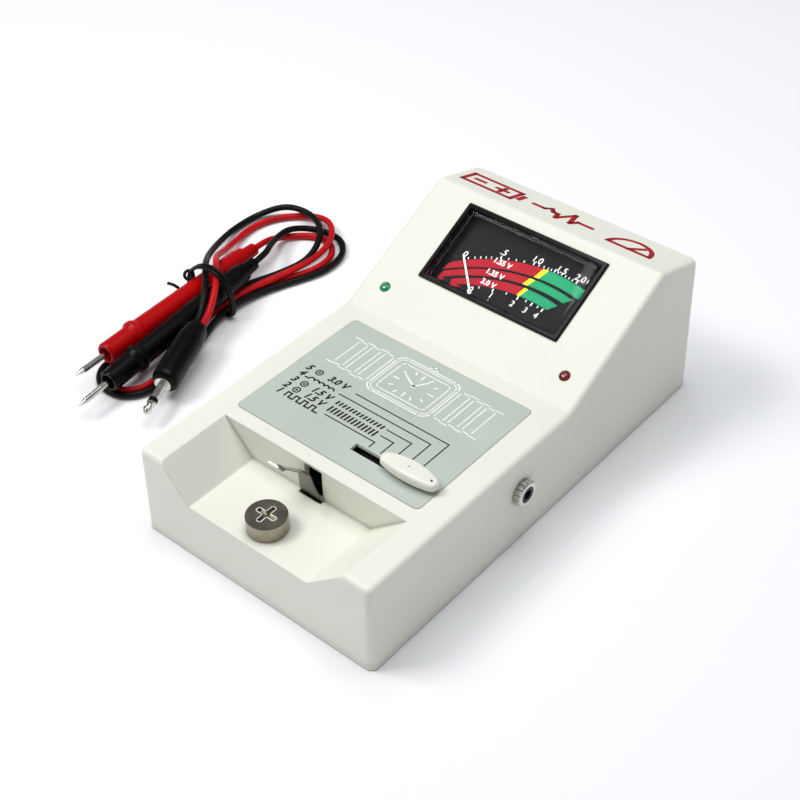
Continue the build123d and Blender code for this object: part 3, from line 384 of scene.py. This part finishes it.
def battery_jacket():
    """Plain wrapped steel jacket: dark with a lighter top band."""
    base = (0.035, 0.04, 0.06)
    m = Nodes("battery_jacket", base, 0.3)
    split = m.add("ShaderNodeSeparateXYZ")
    m.link(m.coordinates, split.inputs["Vector"])
    band = m.spread(split.outputs["X"], 0.008, 0.0085)
    m.color(m.mix(band, base, (0.55, 0.42, 0.18)))
    m.roughness(m.noise(400, 3), 0.25, 0.4)
    m.bump(m.noise(150, 2), 0.00005, 0.3)
    return m.material


def floor_white():
    """Pale matt paper."""
    m = Nodes("floor_white", (0.90, 0.91, 0.93), 0.85)
    m.color(m.mix(m.noise(3, 2), (0.89, 0.90, 0.93), (0.91, 0.92, 0.94)))
    return m.set(Specular_IOR_Level=0.15)


MATERIALS = {
    "case": case_plastic(),
    "label": label_metal(),
    "knob": knob_plastic(),
    "black": gloss_plastic("black_plastic", (0.001, 0.001, 0.001), 500, 0.24, 0.38, 0.12),
    "bezel": gloss_plastic("bezel_plastic", (0.003, 0.003, 0.003), 300, 0.12, 0.22, 0.25),
    "red": gloss_plastic("red_plastic", (0.42, 0.001, 0.002), 400, 0.26, 0.40, 0.12),
    # Painted shade for the knob's middle dimple.
    "knob_shade": printed("knob_shade", (0.34, 0.33, 0.28)),
    "dial": printed("dial_black", (0.002, 0.002, 0.003), 0.5, 0.1),
    "white_ink": printed("white_ink", (0.86, 0.86, 0.84)),
    "black_ink": printed("black_ink", (0.006, 0.006, 0.006), 0.4),
    "pale_ink": printed("pale_ink", (0.90, 0.94, 0.92), 0.4),
    "title_ink": printed("title_ink", (0.36, 0.006, 0.014), 0.45, 0.2),
    "red_ink": printed("red_ink", (0.30, 0.003, 0.010), 0.5, 0.1),
    "yellow_ink": printed("yellow_ink", (0.90, 0.74, 0.02), 0.5, 0.1),
    "green_ink": printed("green_ink", (0.010, 0.250, 0.105), 0.5, 0.1),
    "lens": clear_lens(),
    "nickel": plated("nickel", (0.33, 0.305, 0.24), 0.14, 0.26, True),
    "chrome": plated("chrome", (0.70, 0.68, 0.64), 0.06, 0.16),
    "knurled": knurled_chrome(),
    "spring": plated("spring_steel", (0.40, 0.39, 0.36), 0.16, 0.30),
    "dull": plated("dull_steel", (0.17, 0.165, 0.15), 0.26, 0.40),
    "steel": metal("steel", (0.50, 0.50, 0.50), 0.32),
    "post_highlight": metal("painted_post_highlight", (0.86, 0.85, 0.82), 0.50),
    # Painted highlight for the rims of the post's cross.
    "brass": metal("brass", (0.66, 0.47, 0.20), 0.28),
    "copper": metal("copper", (0.62, 0.27, 0.12), 0.34),
    "iron": metal("iron", (0.16, 0.16, 0.17), 0.5),
    "green_lamp": lamp_plastic("green_lamp", (0.005, 0.26, 0.09), 0.05),
    "red_lamp": lamp_plastic("red_lamp", (0.16, 0.004, 0.006), 0.02),
    "moulding": satin_plastic("black_moulding", (0.008, 0.008, 0.009)),
    "board": board_green(),
    "resistor": banded("resistor_enamel", (0.55, 0.40, 0.24), (0.30, 0.06, 0.02)),
    "capacitor": gloss_plastic("capacitor_sleeve", (0.02, 0.03, 0.14)),
    "battery": battery_jacket(),
    "red_sheath": sheath("red_sheath", (0.52, 0.003, 0.006)),
    "black_sheath": sheath("black_sheath", (0.002, 0.002, 0.002)),
    "floor": floor_white(),
}

NODE_MATERIALS = {
    "case": ["upper_case", "base_plate", "battery_door"],
    "label": ["label_plate"],
    "knob": ["selector_knob"],
    "black": ["plug_barrel", "plug_insulator", "black_probe_handle"],
    "bezel": ["meter_frame"],
    "moulding": [
        "meter_housing", "selector_slider", "integrated_circuits", "jack_body", "battery_snap",
        "green_led_clip", "red_led_clip", "trimmers", "coil_bobbin", "slide_switch",
    ],
    "lens": ["meter_lens"],
    "dial": ["meter_dial"],
    "white_ink": ["meter_pointer"],
    "steel": ["case_screws", "meter_screws", "board_screws", "bracket_screw", "meter_staff"],
    "nickel": ["contact_post", "post_nut"],
    "spring": ["contact_arm"],
    "dull": ["arm_bracket"],
    "knurled": ["jack_nut"],
    "chrome": ["plug_sleeve", "plug_tip", "red_probe_pin", "black_probe_pin"],
    "brass": [
        "meter_terminals", "terminal_nuts", "jewel_screws", "hairspring", "upper_bridge", "lower_bridge",
    ],
    "copper": ["moving_coil", "pickup_coil"],
    "iron": ["meter_magnet", "meter_yoke", "pickup_core"],
    "green_lamp": ["green_led"],
    "red_lamp": ["red_led"],
    "board": ["circuit_board"],
    "resistor": ["resistors"],
    "capacitor": ["capacitors"],
    "battery": ["battery_9v"],
    "red": ["red_probe_handle"],
    "red_sheath": ["red_wires"],
    "black_sheath": ["black_wires", "twist_tie"],
}


def finish_nodes():
    """Give every carried-over CAD node its material."""
    for material, nodes in NODE_MATERIALS.items():
        for node in nodes:
            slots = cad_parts[node].data.materials
            slots.clear()
            slots.append(MATERIALS[material])
    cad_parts["meter_lens"].visible_shadow = False


# ---------------------------------------------------------------- flat prints
INK_T = 0.03              # thickness of printed ink, mm


def mesh_piece(name, vertices, faces, material, body):
    """A mesh of mm points in the row frame, riding on a body."""
    mesh = bpy.data.meshes.new(name)
    mesh.from_pydata([Vector(v) * MM for v in vertices], [], faces)
    mesh.validate()
    piece = bpy.data.objects.new(name, mesh)
    bpy.context.scene.collection.objects.link(piece)
    piece.data.materials.append(MATERIALS[material])
    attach(piece, body)
    return piece


class Print:
    """Flat shapes in mm on a plane, gathered into one thin raised piece."""

    def __init__(self, plane, height=0.0):
        self.plane = plane
        self.height = height
        self.vertices = []
        self.faces = []

    def shape(self, outline):
        """A convex outline raised to the ink's thickness."""
        first = len(self.vertices)
        count = len(outline)
        for level in (self.height, self.height + INK_T):
            self.vertices += [(x, y, level) for x, y in outline]
        bottom = [first + i for i in range(count)]
        top = [first + count + i for i in range(count)]
        self.faces.append(bottom[::-1])
        self.faces.append(top)
        for i in range(count):
            j = (i + 1) % count
            self.faces.append([bottom[i], bottom[j], top[j], top[i]])

    def line(self, points, width):
        """Straight strokes of one width through the points."""
        for (x0, y0), (x1, y1) in zip(points, points[1:]):
            length = math.hypot(x1 - x0, y1 - y0)
            ux, uy = (x1 - x0) / length, (y1 - y0) / length
            px, py = -uy * width / 2, ux * width / 2
            x0, y0 = x0 - ux * width / 2, y0 - uy * width / 2
            x1, y1 = x1 + ux * width / 2, y1 + uy * width / 2
            low_side = [(x0 - px, y0 - py), (x1 - px, y1 - py)]
            high_side = [(x1 + px, y1 + py), (x0 + px, y0 + py)]
            self.shape(low_side + high_side)

    def ring(self, center, radius, width, start=0.0, end=360.0, steps=64):
        """An arc of one width, drawn as short pieces."""
        cx, cy = center
        inner, outer = radius - width / 2, radius + width / 2
        count = max(3, round(steps * abs(end - start) / 360))
        angles = [math.radians(start + (end - start) * i / count) for i in range(count + 1)]
        for a, b in zip(angles, angles[1:]):
            corners = [(inner, a), (outer, a), (outer, b), (inner, b)]
            self.shape([(cx + r * math.cos(t), cy + r * math.sin(t)) for r, t in corners])

    def dot(self, center, radius):
        """A filled round spot."""
        cx, cy = center
        turns = [math.tau * i / 24 for i in range(24)]
        self.shape([(cx + radius * math.cos(t), cy + radius * math.sin(t)) for t in turns])

    def rounded_frame(self, center, size, corner, width):
        """The outline of a rounded rectangle."""
        cx, cy = center
        hx, hy = size[0] / 2, size[1] / 2
        ix, iy = hx - corner, hy - corner
        self.line([(cx - ix, cy - hy), (cx + ix, cy - hy)], width)
        self.line([(cx - ix, cy + hy), (cx + ix, cy + hy)], width)
        self.line([(cx - hx, cy - iy), (cx - hx, cy + iy)], width)
        self.line([(cx + hx, cy - iy), (cx + hx, cy + iy)], width)
        for sx, sy, start in ((1, 1, 0), (-1, 1, 90), (-1, -1, 180), (1, -1, 270)):
            self.ring((cx + sx * ix, cy + sy * iy), corner, width, start, start + 90)

    def text(self, words, center, size, lean=0.0, heavy=0.0):
        """Numbers or a unit, as flat outlines of the built-in font."""
        curve = bpy.data.curves.new("number", "FONT")
        curve.body = words
        curve.size = size
        curve.shear = lean
        curve.offset = heavy
        curve.extrude = INK_T / 2
        curve.align_x = "CENTER"
        curve.align_y = "CENTER"
        curve.resolution_u = 4
        holder = bpy.data.objects.new("number", curve)
        bpy.context.scene.collection.objects.link(holder)
        bpy.context.view_layer.update()
        mesh = bpy.data.meshes.new_from_object(holder)
        first = len(self.vertices)
        lift = Matrix.Translation((*center, self.height + INK_T / 2))
        self.vertices += [tuple(lift @ v.co) for v in mesh.vertices]
        self.faces += [[first + i for i in face.vertices] for face in mesh.polygons]
        bpy.data.objects.remove(holder)
        bpy.data.meshes.remove(mesh)
        bpy.data.curves.remove(curve)

    def make(self, name, material, body):
        """The piece itself, laid on its plane."""
        piece = mesh_piece(name, self.vertices, self.faces, material, body)
        piece.data.transform(self.plane)
        return piece


# ---------------------------------------------------------------- stage
def area_light(name, place, target, size, power, color=(1, 1, 1)):
    """A rectangular soft light aimed at a point."""
    lamp = bpy.data.lights.new(name, "AREA")
    lamp.shape = "RECTANGLE"
    lamp.size, lamp.size_y = size
    lamp.energy = power
    lamp.color = color
    light = bpy.data.objects.new(name, lamp)
    light.location = place
    aim = Vector(target) - Vector(place)
    light.rotation_euler = aim.to_track_quat("-Z", "Y").to_euler()
    bpy.context.scene.collection.objects.link(light)


def add_stage():
    """A pale floor, a soft light overhead, a key from the front left and a pale surround."""
    mesh = bpy.data.meshes.new("floor")
    half = 3.0
    corners = [(-half, -half, 0), (half, -half, 0), (half, half, 0), (-half, half, 0)]
    mesh.from_pydata(corners, [], [[0, 1, 2, 3]])
    floor = bpy.data.objects.new("floor", mesh)
    floor.location.z = -0.0002
    mesh.materials.append(MATERIALS["floor"])
    bpy.context.scene.collection.objects.link(floor)
    world = bpy.data.worlds.new("surround")
    world.use_nodes = True
    world.node_tree.nodes["Background"].inputs["Color"].default_value = (0.92, 0.96, 1.0, 1.0)
    world.node_tree.nodes["Background"].inputs["Strength"].default_value = 0.26
    bpy.context.scene.world = world
    bpy.context.scene.view_settings.view_transform = "Standard"
    area_light("top", (-0.01, 0.12, 1.00), (-0.01, 0.12, 0), (0.85, 0.60), 5.9)
    area_light("key", (-0.55, -0.45, 1.02), (0, 0, 0.02), (0.50, 0.42), 7.6, (1.0, 0.985, 0.955))


# ---------------------------------------------------------------- the meter's dial
DIAL_TOP = -4.4           # height of the dial's face below the slope, mm


def arc_height(edge, x):
    """Distance up the slope of a band's edge at x: the edge is (centre x, centre s, radius)."""
    center_x, center_s, radius = edge
    return center_s + math.sqrt(radius ** 2 - (x - center_x) ** 2)


def band(ink, outer, inner, starts, ends, steps=24):
    """A curved band between two arcs, from an outer and inner x to another pair."""
    points = []
    for step in range(steps + 1):
        t = step / steps
        xo = starts[0] + (ends[0] - starts[0]) * t
        xi = starts[1] + (ends[1] - starts[1]) * t
        points.append(((xo, arc_height(outer, xo)), (xi, arc_height(inner, xi))))
    for (o1, i1), (o2, i2) in zip(points, points[1:]):
        ink.shape([i1, i2, o2, o1])


# Each band: outer arc, inner arc, then its x at the outer and inner edge for its left end,
# the start and end of the yellow stripe, and its right end.
BANDS = [
    ((12.9, -20.5, 64.6), (12.8, -29.7, 69.7), (-25.6, -26.6), (7.2, 5.9), (9.4, 7.8), (25.4, 23.9)),
    ((11.4, -26.4, 65.3), (11.8, -31.1, 67.1), (-25.6, -26.6), (4.9, 3.7), (7.1, 5.7), (23.3, 21.2)),
    ((9.5, -23.5, 58.1), (9.4, -33.8, 64.9), (-21.0, -20.6), (5.3, 4.3), (6.9, 5.6), (20.0, 17.3)),
]
# Each number's words, its x and its distance up the slope.
TOP_NUMBERS = [
    ("0", -22.4, 36.5), (".5", -9.6, 43.3), ("1.0", 3.2, 45.9), ("1.5", 13.4, 46.2), ("2.0", 21.2, 46.2),
]
LOW_NUMBERS = [
    ("0", -12.2, 25.4), ("1", -4.1, 26.6), ("2", 4.8, 27.2), ("3", 10.4, 27.1), ("4", 15.0, 27.0),
]
BAND_NUMBERS = [("1.55 V", -7.6, 39.3), ("1.35 V", -7.6, 34.4), ("3.0 V", -7.6, 30.2)]
# The x of each tick, along the top of the upper band and the bottom of the lower one.
TOP_TICKS = [
    -20.0, -17.9, -16.0, -14.2, -12.4, -9.1, -6.4, -3.6, -0.7, 3.0, 5.0, 7.0, 8.7, 10.0, 11.4, 12.8,
    14.4, 16.0, 17.5, 19.0, 20.8,
]
LONG_TOP_TICKS = (-9.1, 3.0, 11.4, 20.8)
LOW_TICKS = [-10.0, -4.7, 0.6, 5.3, 8.8, 11.3, 13.9, 16.1]
LONG_LOW_TICKS = (-4.7, 5.3, 11.3, 16.1)


def tick(ink, edge, x, gap, long):
    """A short stroke square to a band's edge, a gap beyond it, or inside it for a negative gap."""
    length = math.copysign(0.95 if long else 0.5, gap)
    width = 0.42 if long else 0.32
    center_x, center_s, radius = edge
    s = arc_height(edge, x)
    ux, us = (x - center_x) / radius, (s - center_s) / radius
    start = (x + ux * gap, s + us * gap)
    end = (x + ux * (gap + length), s + us * (gap + length))
    ink.line([start, end], width)


def print_dial():
    """Three coloured bands, two scales of ticks and their numbers."""
    red = Print(ON_SLOPE, DIAL_TOP)
    yellow = Print(ON_SLOPE, DIAL_TOP)
    green = Print(ON_SLOPE, DIAL_TOP)
    white = Print(ON_SLOPE, DIAL_TOP + INK_T)
    for outer, inner, left, stripe, after, right in BANDS:
        band(red, outer, inner, left, stripe)
        band(yellow, outer, inner, stripe, after, 2)
        band(green, outer, inner, after, right)
    for x in TOP_TICKS:
        tick(white, BANDS[0][0], x, 0.45, x in LONG_TOP_TICKS)
    for x in LOW_TICKS:
        tick(white, BANDS[2][1], x, -0.5, x in LONG_LOW_TICKS)
    styles = ((TOP_NUMBERS, 3.5, 0.1, 0.0), (LOW_NUMBERS, 3.3, 0.1, 0.0), (BAND_NUMBERS, 2.9, 0.0, 0.06))
    for numbers, size, lean, heavy in styles:
        for words, x, s in numbers:
            white.text(words, (x, s), size, lean, heavy)
    # The unit stands under the lower scale, between two strokes.
    unit_x, unit_s = 2.0, 23.2
    white.text("V", (unit_x, unit_s), 3.2)
    for x in (unit_x - 3.6, unit_x + 3.6):
        white.line([(x - 1.5, unit_s), (x + 1.5, unit_s)], 0.35)
    red.make("dial_red_bands", "red_ink", "case")
    yellow.make("dial_yellow_stripes", "yellow_ink", "case")
    green.make("dial_green_bands", "green_ink", "case")
    white.make("dial_marks", "white_ink", "case")


# ---------------------------------------------------------------- the label's print
WATCH = (0.0, -9.2)       # the drawn watch's middle
ROWS = [-23.7, -27.4, -31.3, -35.1, -38.6]    # y of each setting's row
SLOT_Y = -41.0            # where the rows' lines end, beside the slot


def print_watch():
    """A plain watch in white outline: cushion case, strap links, hour marks and hands."""
    ink = Print(ON_LABEL)
    x0, y0 = WATCH
    # The case's outer and inner edges and the dial's frame: size, corner radius and stroke.
    frames = (((26.6, 20.6), 3.2, 0.50), ((24.6, 18.6), 2.6, 0.36), ((20.8, 15.2), 1.6, 0.42))
    for size, corner, stroke in frames:
        ink.rounded_frame(WATCH, size, corner, stroke)
    # The hour marks end on a rounded rectangle just inside the dial's frame.
    half_width, half_height, corner_reach = 9.0, 6.2, 8.4
    for hour in range(12):
        angle = math.radians(30 * hour)
        ux, uy = math.sin(angle), math.cos(angle)
        reach = min(half_width / max(abs(ux), 1e-6), half_height / max(abs(uy), 1e-6), corner_reach)
        inner = reach - (2.0 if hour % 3 == 0 else 1.2)
        ink.line([(x0 + ux * inner, y0 + uy * inner), (x0 + ux * reach, y0 + uy * reach)], 0.55)
    ink.dot(WATCH, 0.8)
    for hand_x, hand_y in ((-5.6, 3.0), (3.0, 4.4)):
        ink.line([WATCH, (x0 + hand_x, y0 + hand_y)], 0.6)
    crown = [(-1.4, 10.7), (-1.0, 12.0), (1.0, 12.0), (1.4, 10.7)]
    ink.line([(x0 + x, y0 + y) for x, y in crown], 0.5)
    # Three links each side, narrowing towards the strap's end.
    for side in (-1, 1):
        for link in range(3):
            middle = x0 + side * (16.6 + 5.6 * link)
            height = 15.8 - 0.7 * link
            ink.rounded_frame((middle, y0), (3.7, height), 0.5, 0.42)
            join = middle + side * 2.9
            for end in (-1, 1):
                level = y0 + end * (height / 2 + 0.5)
                ink.line([(join - 1.5, level), (join + 1.5, level)], 0.42)
    ink.make("watch_outline", "pale_ink", "case")


BOLD = 0.62               # stroke of the bold symbols on the label, mm


def coin(ink, x, y):
    """A cell: a ring with a plus in it."""
    ink.ring((x, y), 1.25, 0.52, steps=28)
    ink.line([(x - 0.45, y), (x + 0.45, y)], 0.42)
    ink.line([(x, y - 0.45), (x, y + 0.45)], 0.42)


def winding(ink, x, y, turns=5):
    """A coil's symbol: a row of half-rings."""
    for turn in range(turns):
        ink.ring((x + 2.2 * turn, y - 0.7), 1.1, BOLD, 0, 180, 40)
    ink.line([(x - 2.6, y - 0.7), (x - 1.1, y - 0.7)], BOLD)


def load_bars(ink, x, y, height, count=14):
    """A run of leaning bars whose height stands for the load."""
    pitch, lean, width = 1.5, 0.25, 0.78
    for bar in range(count):
        foot = x + pitch * bar
        ink.line([(foot, y - height / 2), (foot + lean, y + height / 2)], width)


def square_wave(ink, x, y, pulses=4):
    """A pulse train."""
    low, high, pitch, width = y - 1.1, y + 1.1, 3.6, 1.7
    points = []
    for pulse in range(pulses):
        start = x + pitch * pulse
        points += [(start, low), (start, high), (start + width, high), (start + width, low)]
    points.append((x + pitch * pulses, low))
    ink.line(points, BOLD)


def print_rows():
    """Five settings, each with its number, symbol and a line to its place on the slot."""
    ink = Print(ON_LABEL)
    # Where each row's line begins, and where it turns towards the slot.
    starts = [-12.3, -16.6, 7.2, 7.6, -13.5]
    corners = [(27.4, -24.2), (22.7, -27.7), (17.7, -31.3), (13.0, -34.7), (8.1, -38.3)]
    number_x, coin_x, bars_x = -33.8, -29.2, -14.2
    size, lean, heavy = 3.9, 0.25, 0.16
    for number, (row, corner, start) in enumerate(zip(ROWS, corners, starts)):
        ink.text(str(5 - number), (number_x, row), size, lean, heavy)
        ink.line([(start, corner[1]), corner, (corner[0], SLOT_Y)], 0.46)
    coin(ink, coin_x, ROWS[0])
    ink.text("3.0 V", (-20.8, ROWS[0]), size, lean, heavy)
    winding(ink, -29.0, ROWS[1])
    for row, height in ((ROWS[2], 1.2), (ROWS[3], 2.3)):
        coin(ink, coin_x, row)
        ink.text("1.5 V", (-21.4, row), size, lean, heavy)
        load_bars(ink, bars_x, row, height)
    square_wave(ink, -30.6, ROWS[4])
    ink.make("setting_marks", "black_ink", "case")


def print_title():
    """Symbols across the title strip: a battery, a pulse and a gauge."""
    ink = Print(ON_STRIP)
    middle, half, stroke = -1.2, 4.3, 1.9
    low, high = middle - half, middle + half
    # The battery's outline, its terminal, a minus and a plus.
    left, right, plus = -43.4, -21.6, -27.8
    ink.line([(left, low), (right, low), (right, high), (left, high), (left, low)], stroke)
    ink.line([(right + 2.4, middle - 1.8), (right + 2.4, middle + 1.8)], 2.2)
    ink.line([(left + 3.6, middle), (left + 7.4, middle)], stroke)
    ink.line([(plus - 2.2, middle), (plus + 2.2, middle)], stroke)
    ink.line([(plus, middle - 2.2), (plus, middle + 2.2)], stroke)
    # The pulse's corners, from the middle of the strip.
    beat = [
        (-13.5, 0), (-9, 0), (-7.0, 2.2), (-5.0, 0), (-3.2, 0), (-1.6, -3.9), (1.6, 4.9), (4.2, -3.4),
        (5.8, 0), (11.5, 0),
    ]
    ink.line([(x, y + middle) for x, y in beat], stroke)
    # The gauge: half a ring, its base and its hand.
    gauge_x, gauge_y, gauge_radius = 29, low + 0.6, 8.4
    ink.ring((gauge_x, gauge_y), gauge_radius, stroke, 0, 180, 60)
    ink.line([(gauge_x - gauge_radius, gauge_y), (gauge_x + gauge_radius, gauge_y)], stroke)
    ink.line([(gauge_x, gauge_y), (gauge_x + 3.8, middle + 1.4)], stroke)
    ink.make("title_symbols", "title_ink", "case")


def paint_post_highlight():
    """Painted highlight: thin bright strips round the cross in the post's head."""
    low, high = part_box("contact_post")
    middle = (low + high) / 2
    # Painted highlight: bright metal strips stand in for the glints along the cross's edges.
    glints = Print(Matrix.Translation((middle.x, middle.y, high.z)))
    reach, half, glint_width = 3.9, 0.88, 0.34    # the arms' length and half width, and each highlight strip's width
    for quarter in range(4):
        turn = math.radians(90 * quarter)
        ux, uy = math.cos(turn), math.sin(turn)
        corners = [(half, half), (reach, half), (reach, -half), (half, -half)]
        glints.line([(x * ux - y * uy, x * uy + y * ux) for x, y in corners], glint_width)
    glints.make("post_cross_highlight", "post_highlight", "case")


def paint_knob_shade():
    """Painted shade: a black disc down in the hole near the knob's right end, and a darker spot in its
    middle dimple.
    """
    low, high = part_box("selector_knob")
    middle = (low + high) / 2 / MM
    top, right_end, radius = high.z / MM, high.x / MM, 0.42
    # Painted shade: a darker spot in the middle dimple.
    dimple = Print(Matrix.Identity(4), top - 0.20)
    dimple.dot((middle.x, middle.y), radius)
    dimple.make("knob_dimple", "knob_shade", "selector")
    # Painted shade: a black disc inside the hole near the right end.
    hole_shade = Print(Matrix.Identity(4), top - 1.05)
    hole_shade.dot((right_end - 2.3, middle.y), radius)
    hole_shade.make("knob_hole_shade", "black_ink", "selector")


# ---------------------------------------------------------------- test leads
# Places along the leads' route, in mm; the same as the CAD's.
RED_FACE = Vector((-120.8, -43.6, 8.7))
RED_REAR = Vector((-126.2, 39.5, 7.6))
BLACK_FACE = Vector((-108.6, -53.2, 8.0))
BLACK_REAR = Vector((-116.6, 32.5, 10.5))
PLUG_FACE = Vector((-91.8, -41.3, 8.6))
PLUG_REAR = Vector((-103.6, -12.2, 11.0))
PROBE_LEN = 84.5
CORD_SIDE = 1.45          # how far each cord leaves the plug to one side of its axis

red_axis = (RED_REAR - RED_FACE).normalized()
black_axis = (BLACK_REAR - BLACK_FACE).normalized()
plug_axis = (PLUG_REAR - PLUG_FACE).normalized()
plug_across = Vector((-plug_axis.y, plug_axis.x, 0)).normalized()
BLACK_EXIT = PLUG_REAR + plug_across * CORD_SIDE
RED_EXIT = PLUG_REAR - plug_across * CORD_SIDE

BLACK_ROUTE = [
    BLACK_EXIT,
    BLACK_EXIT + plug_axis * 5.6,
    (-111.0, -0.6, 16.4),
    (-118.0, 6.8, 17.0),
    (-126.2, 14.2, 15.0),
    (-135.4, 24.0, 9.6),
    (-144.0, 37.2, 4.4),
    (-149.6, 52.2, 1.5),
    (-149.0, 66.4, 1.5),
    (-141.4, 75.0, 4.6),
    (-131.0, 77.2, 4.9),
    (-120.6, 74.0, 5.1),
    (-112.6, 65.6, 4.6),
    (-109.6, 54.6, 1.9),
    (-112.4, 42.0, 1.5),
    (-117.0, 29.0, 1.6),
    (-120.2, 15.6, 2.8),
    (-120.8, 3.6, 2.8),
    (-122.4, -11.4, 1.5),
    (-123.65, -24.4, 1.5),
    (-123.75, -35.0, 1.5),
    (-123.65, -45.0, 1.5),
    (-116.6, -52.0, 1.5),
    (-106.7, -52.0, 1.5),
    (-99.65, -45.0, 1.5),
    (-99.75, -35.0, 1.5),
    (-102.0, -22.4, 1.5),
    (-106.0, -9.0, 1.6),
    (-110.2, 3.6, 2.8),
    (-110.9, 15.6, 2.8),
    (-109.4, 28.6, 1.6),
    (-104.4, 41.4, 1.5),
    (-99.4, 53.6, 1.5),
    (-100.6, 66.0, 1.5),
    (-108.0, 74.2, 1.5),
    (-117.2, 74.8, 1.5),
    (-124.6, 70.6, 2.7),
    (-128.0, 62.6, 5.0),
    (-125.6, 53.0, 6.6),
    (-121.4, 45.4, 9.2),
    BLACK_FACE + black_axis * (PROBE_LEN + 8),
    BLACK_FACE + black_axis * (PROBE_LEN + 0.1),
]
RED_ROUTE = [
    RED_EXIT,
    RED_EXIT + plug_axis * 6.6,
    (-108.6, 2.2, 16.2),
    (-114.8, 9.6, 17.4),
    (-122.4, 16.6, 16.4),
    (-129.8, 23.6, 12.4),
    (-136.4, 33.0, 6.0),
    (-141.8, 44.8, 2.2),
    (-144.6, 57.0, 1.5),
    (-142.0, 68.0, 1.5),
    (-134.8, 76.6, 1.5),
    (-126.4, 80.2, 2.4),
    (-117.4, 77.6, 4.5),
    (-109.6, 69.6, 4.5),
    (-106.0, 58.6, 4.4),
    (-106.4, 46.8, 4.4),
    (-109.6, 33.0, 4.4),
    (-112.8, 21.6, 4.2),
    (-113.9, 11.4, 2.8),
    (-113.7, 2.4, 2.8),
    (-109.8, -9.6, 1.5),
    (-105.2, -22.6, 1.5),
    (-102.6, -34.4, 1.5),
    (-102.5, -43.8, 1.5),
    (-107.9, -49.15, 1.5),
    (-115.4, -49.15, 1.5),
    (-120.8, -43.8, 1.5),
    (-120.8, -34.4, 1.5),
    (-120.6, -23.0, 1.5),
    (-119.4, -10.4, 1.5),
    (-117.4, 2.6, 2.8),
    (-117.0, 13.4, 2.8),
    (-113.9, 26.4, 1.6),
    (-108.4, 39.4, 1.5),
    (-103.4, 51.4, 1.5),
    (-103.4, 62.0, 1.5),
    (-110.0, 70.0, 1.5),
    (-118.4, 69.8, 1.5),
    (-125.0, 65.6, 1.5),
    (-129.8, 58.6, 1.9),
    RED_FACE + red_axis * (PROBE_LEN + 8),
    RED_FACE + red_axis * (PROBE_LEN + 0.1),
]


def round_curve(name, routes, diameter, material, cyclic=False):
    """A round wire along smooth splines through lists of mm points."""
    curve = bpy.data.curves.new(name, "CURVE")
    curve.dimensions = "3D"
    curve.bevel_depth = diameter * MM / 2
    curve.bevel_resolution = 6
    curve.resolution_u = 10
    curve.use_fill_caps = True
    for route in routes:
        spline = curve.splines.new("NURBS")
        spline.points.add(len(route) - 1)
        for point, place in zip(spline.points, route):
            point.co = (*(Vector(place) * MM), 1.0)
        spline.order_u = 3
        spline.use_endpoint_u = not cyclic
        spline.use_cyclic_u = cyclic
    piece = bpy.data.objects.new(name, curve)
    bpy.context.scene.collection.objects.link(piece)
    curve.materials.append(MATERIALS[material])
    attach(piece, "case")
    return piece


# The tie's wire: wrapped twice round the bundle, one end curled into an eye, the other left as
# a short stub. Its ring is a list of x and z at one place along the bundle.
TIE_D = 1.5
TIE_Y = 9.0
TIE_RING = [
    (-109.4, 0.9), (-121.6, 0.9), (-128.6, 1.4), (-131.2, 7.0), (-129.4, 13.6), (-122.8, 19.2),
    (-113.4, 20.4), (-108.2, 15.4), (-106.6, 8.0), (-107.0, 2.4),
]
TIE_STUB = [(-127.6, 0.4, 10.8), (-130.4, 0.8, 10.6), (-132.6, 1.2, 9.8), (-134.6, 1.4, 9.2)]


def tie_eye():
    """The curled end: one turn of a small eye beside the bundle, its tail running under the wrap."""
    center = Vector((-129.6, 8.2, 11.6))
    radius = 1.9
    level = Vector((0.70, 0.71, 0.0))
    lean = Vector((-0.45, 0.44, 0.78))
    points = [center + Vector((4.6, 1.6, -1.2))]
    for step in range(9):
        angle = math.radians(-40 + 45 * step)
        points.append(center + radius * (math.cos(angle) * level + math.sin(angle) * lean))
    points.append(points[-1] + Vector((3.0, 1.0, 0.6)))
    return points


def add_tie():
    """The wire tie round the bundle."""
    wraps = []
    for shift, lean in ((-0.8, 0.5), (0.9, -0.4)):
        wraps.append([(x, TIE_Y + shift + lean * math.sin(z / 6), z) for x, z in TIE_RING])
    wrap = round_curve("tie_wrap", wraps, TIE_D, "black_sheath", cyclic=True)
    ends = round_curve("tie_ends", [tie_eye(), TIE_STUB], TIE_D * 0.85, "black_sheath")
    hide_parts("twist_tie")
    return [wrap, ends]


def add_leads():
    """Both cords and the tie round them."""
    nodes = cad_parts
    black_tools = [nodes[f"black_probe_{part}"] for part in ("handle", "pin")]
    black_tools += [nodes[f"plug_{part}"] for part in ("barrel", "sleeve", "insulator", "tip")]
    black = round_curve("black_lead", [BLACK_ROUTE], CORD_D, "black_sheath")
    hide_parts("black_cord")
    black_tools + add_tie()
    red = round_curve("red_lead", [RED_ROUTE], CORD_D, "red_sheath")
    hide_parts("red_cord")


# ---------------------------------------------------------------- the scene
add_camera()
finish_nodes()
add_stage()
print_dial()
print_watch()
print_rows()
print_title()
paint_knob_shade()
paint_post_highlight()
add_leads()
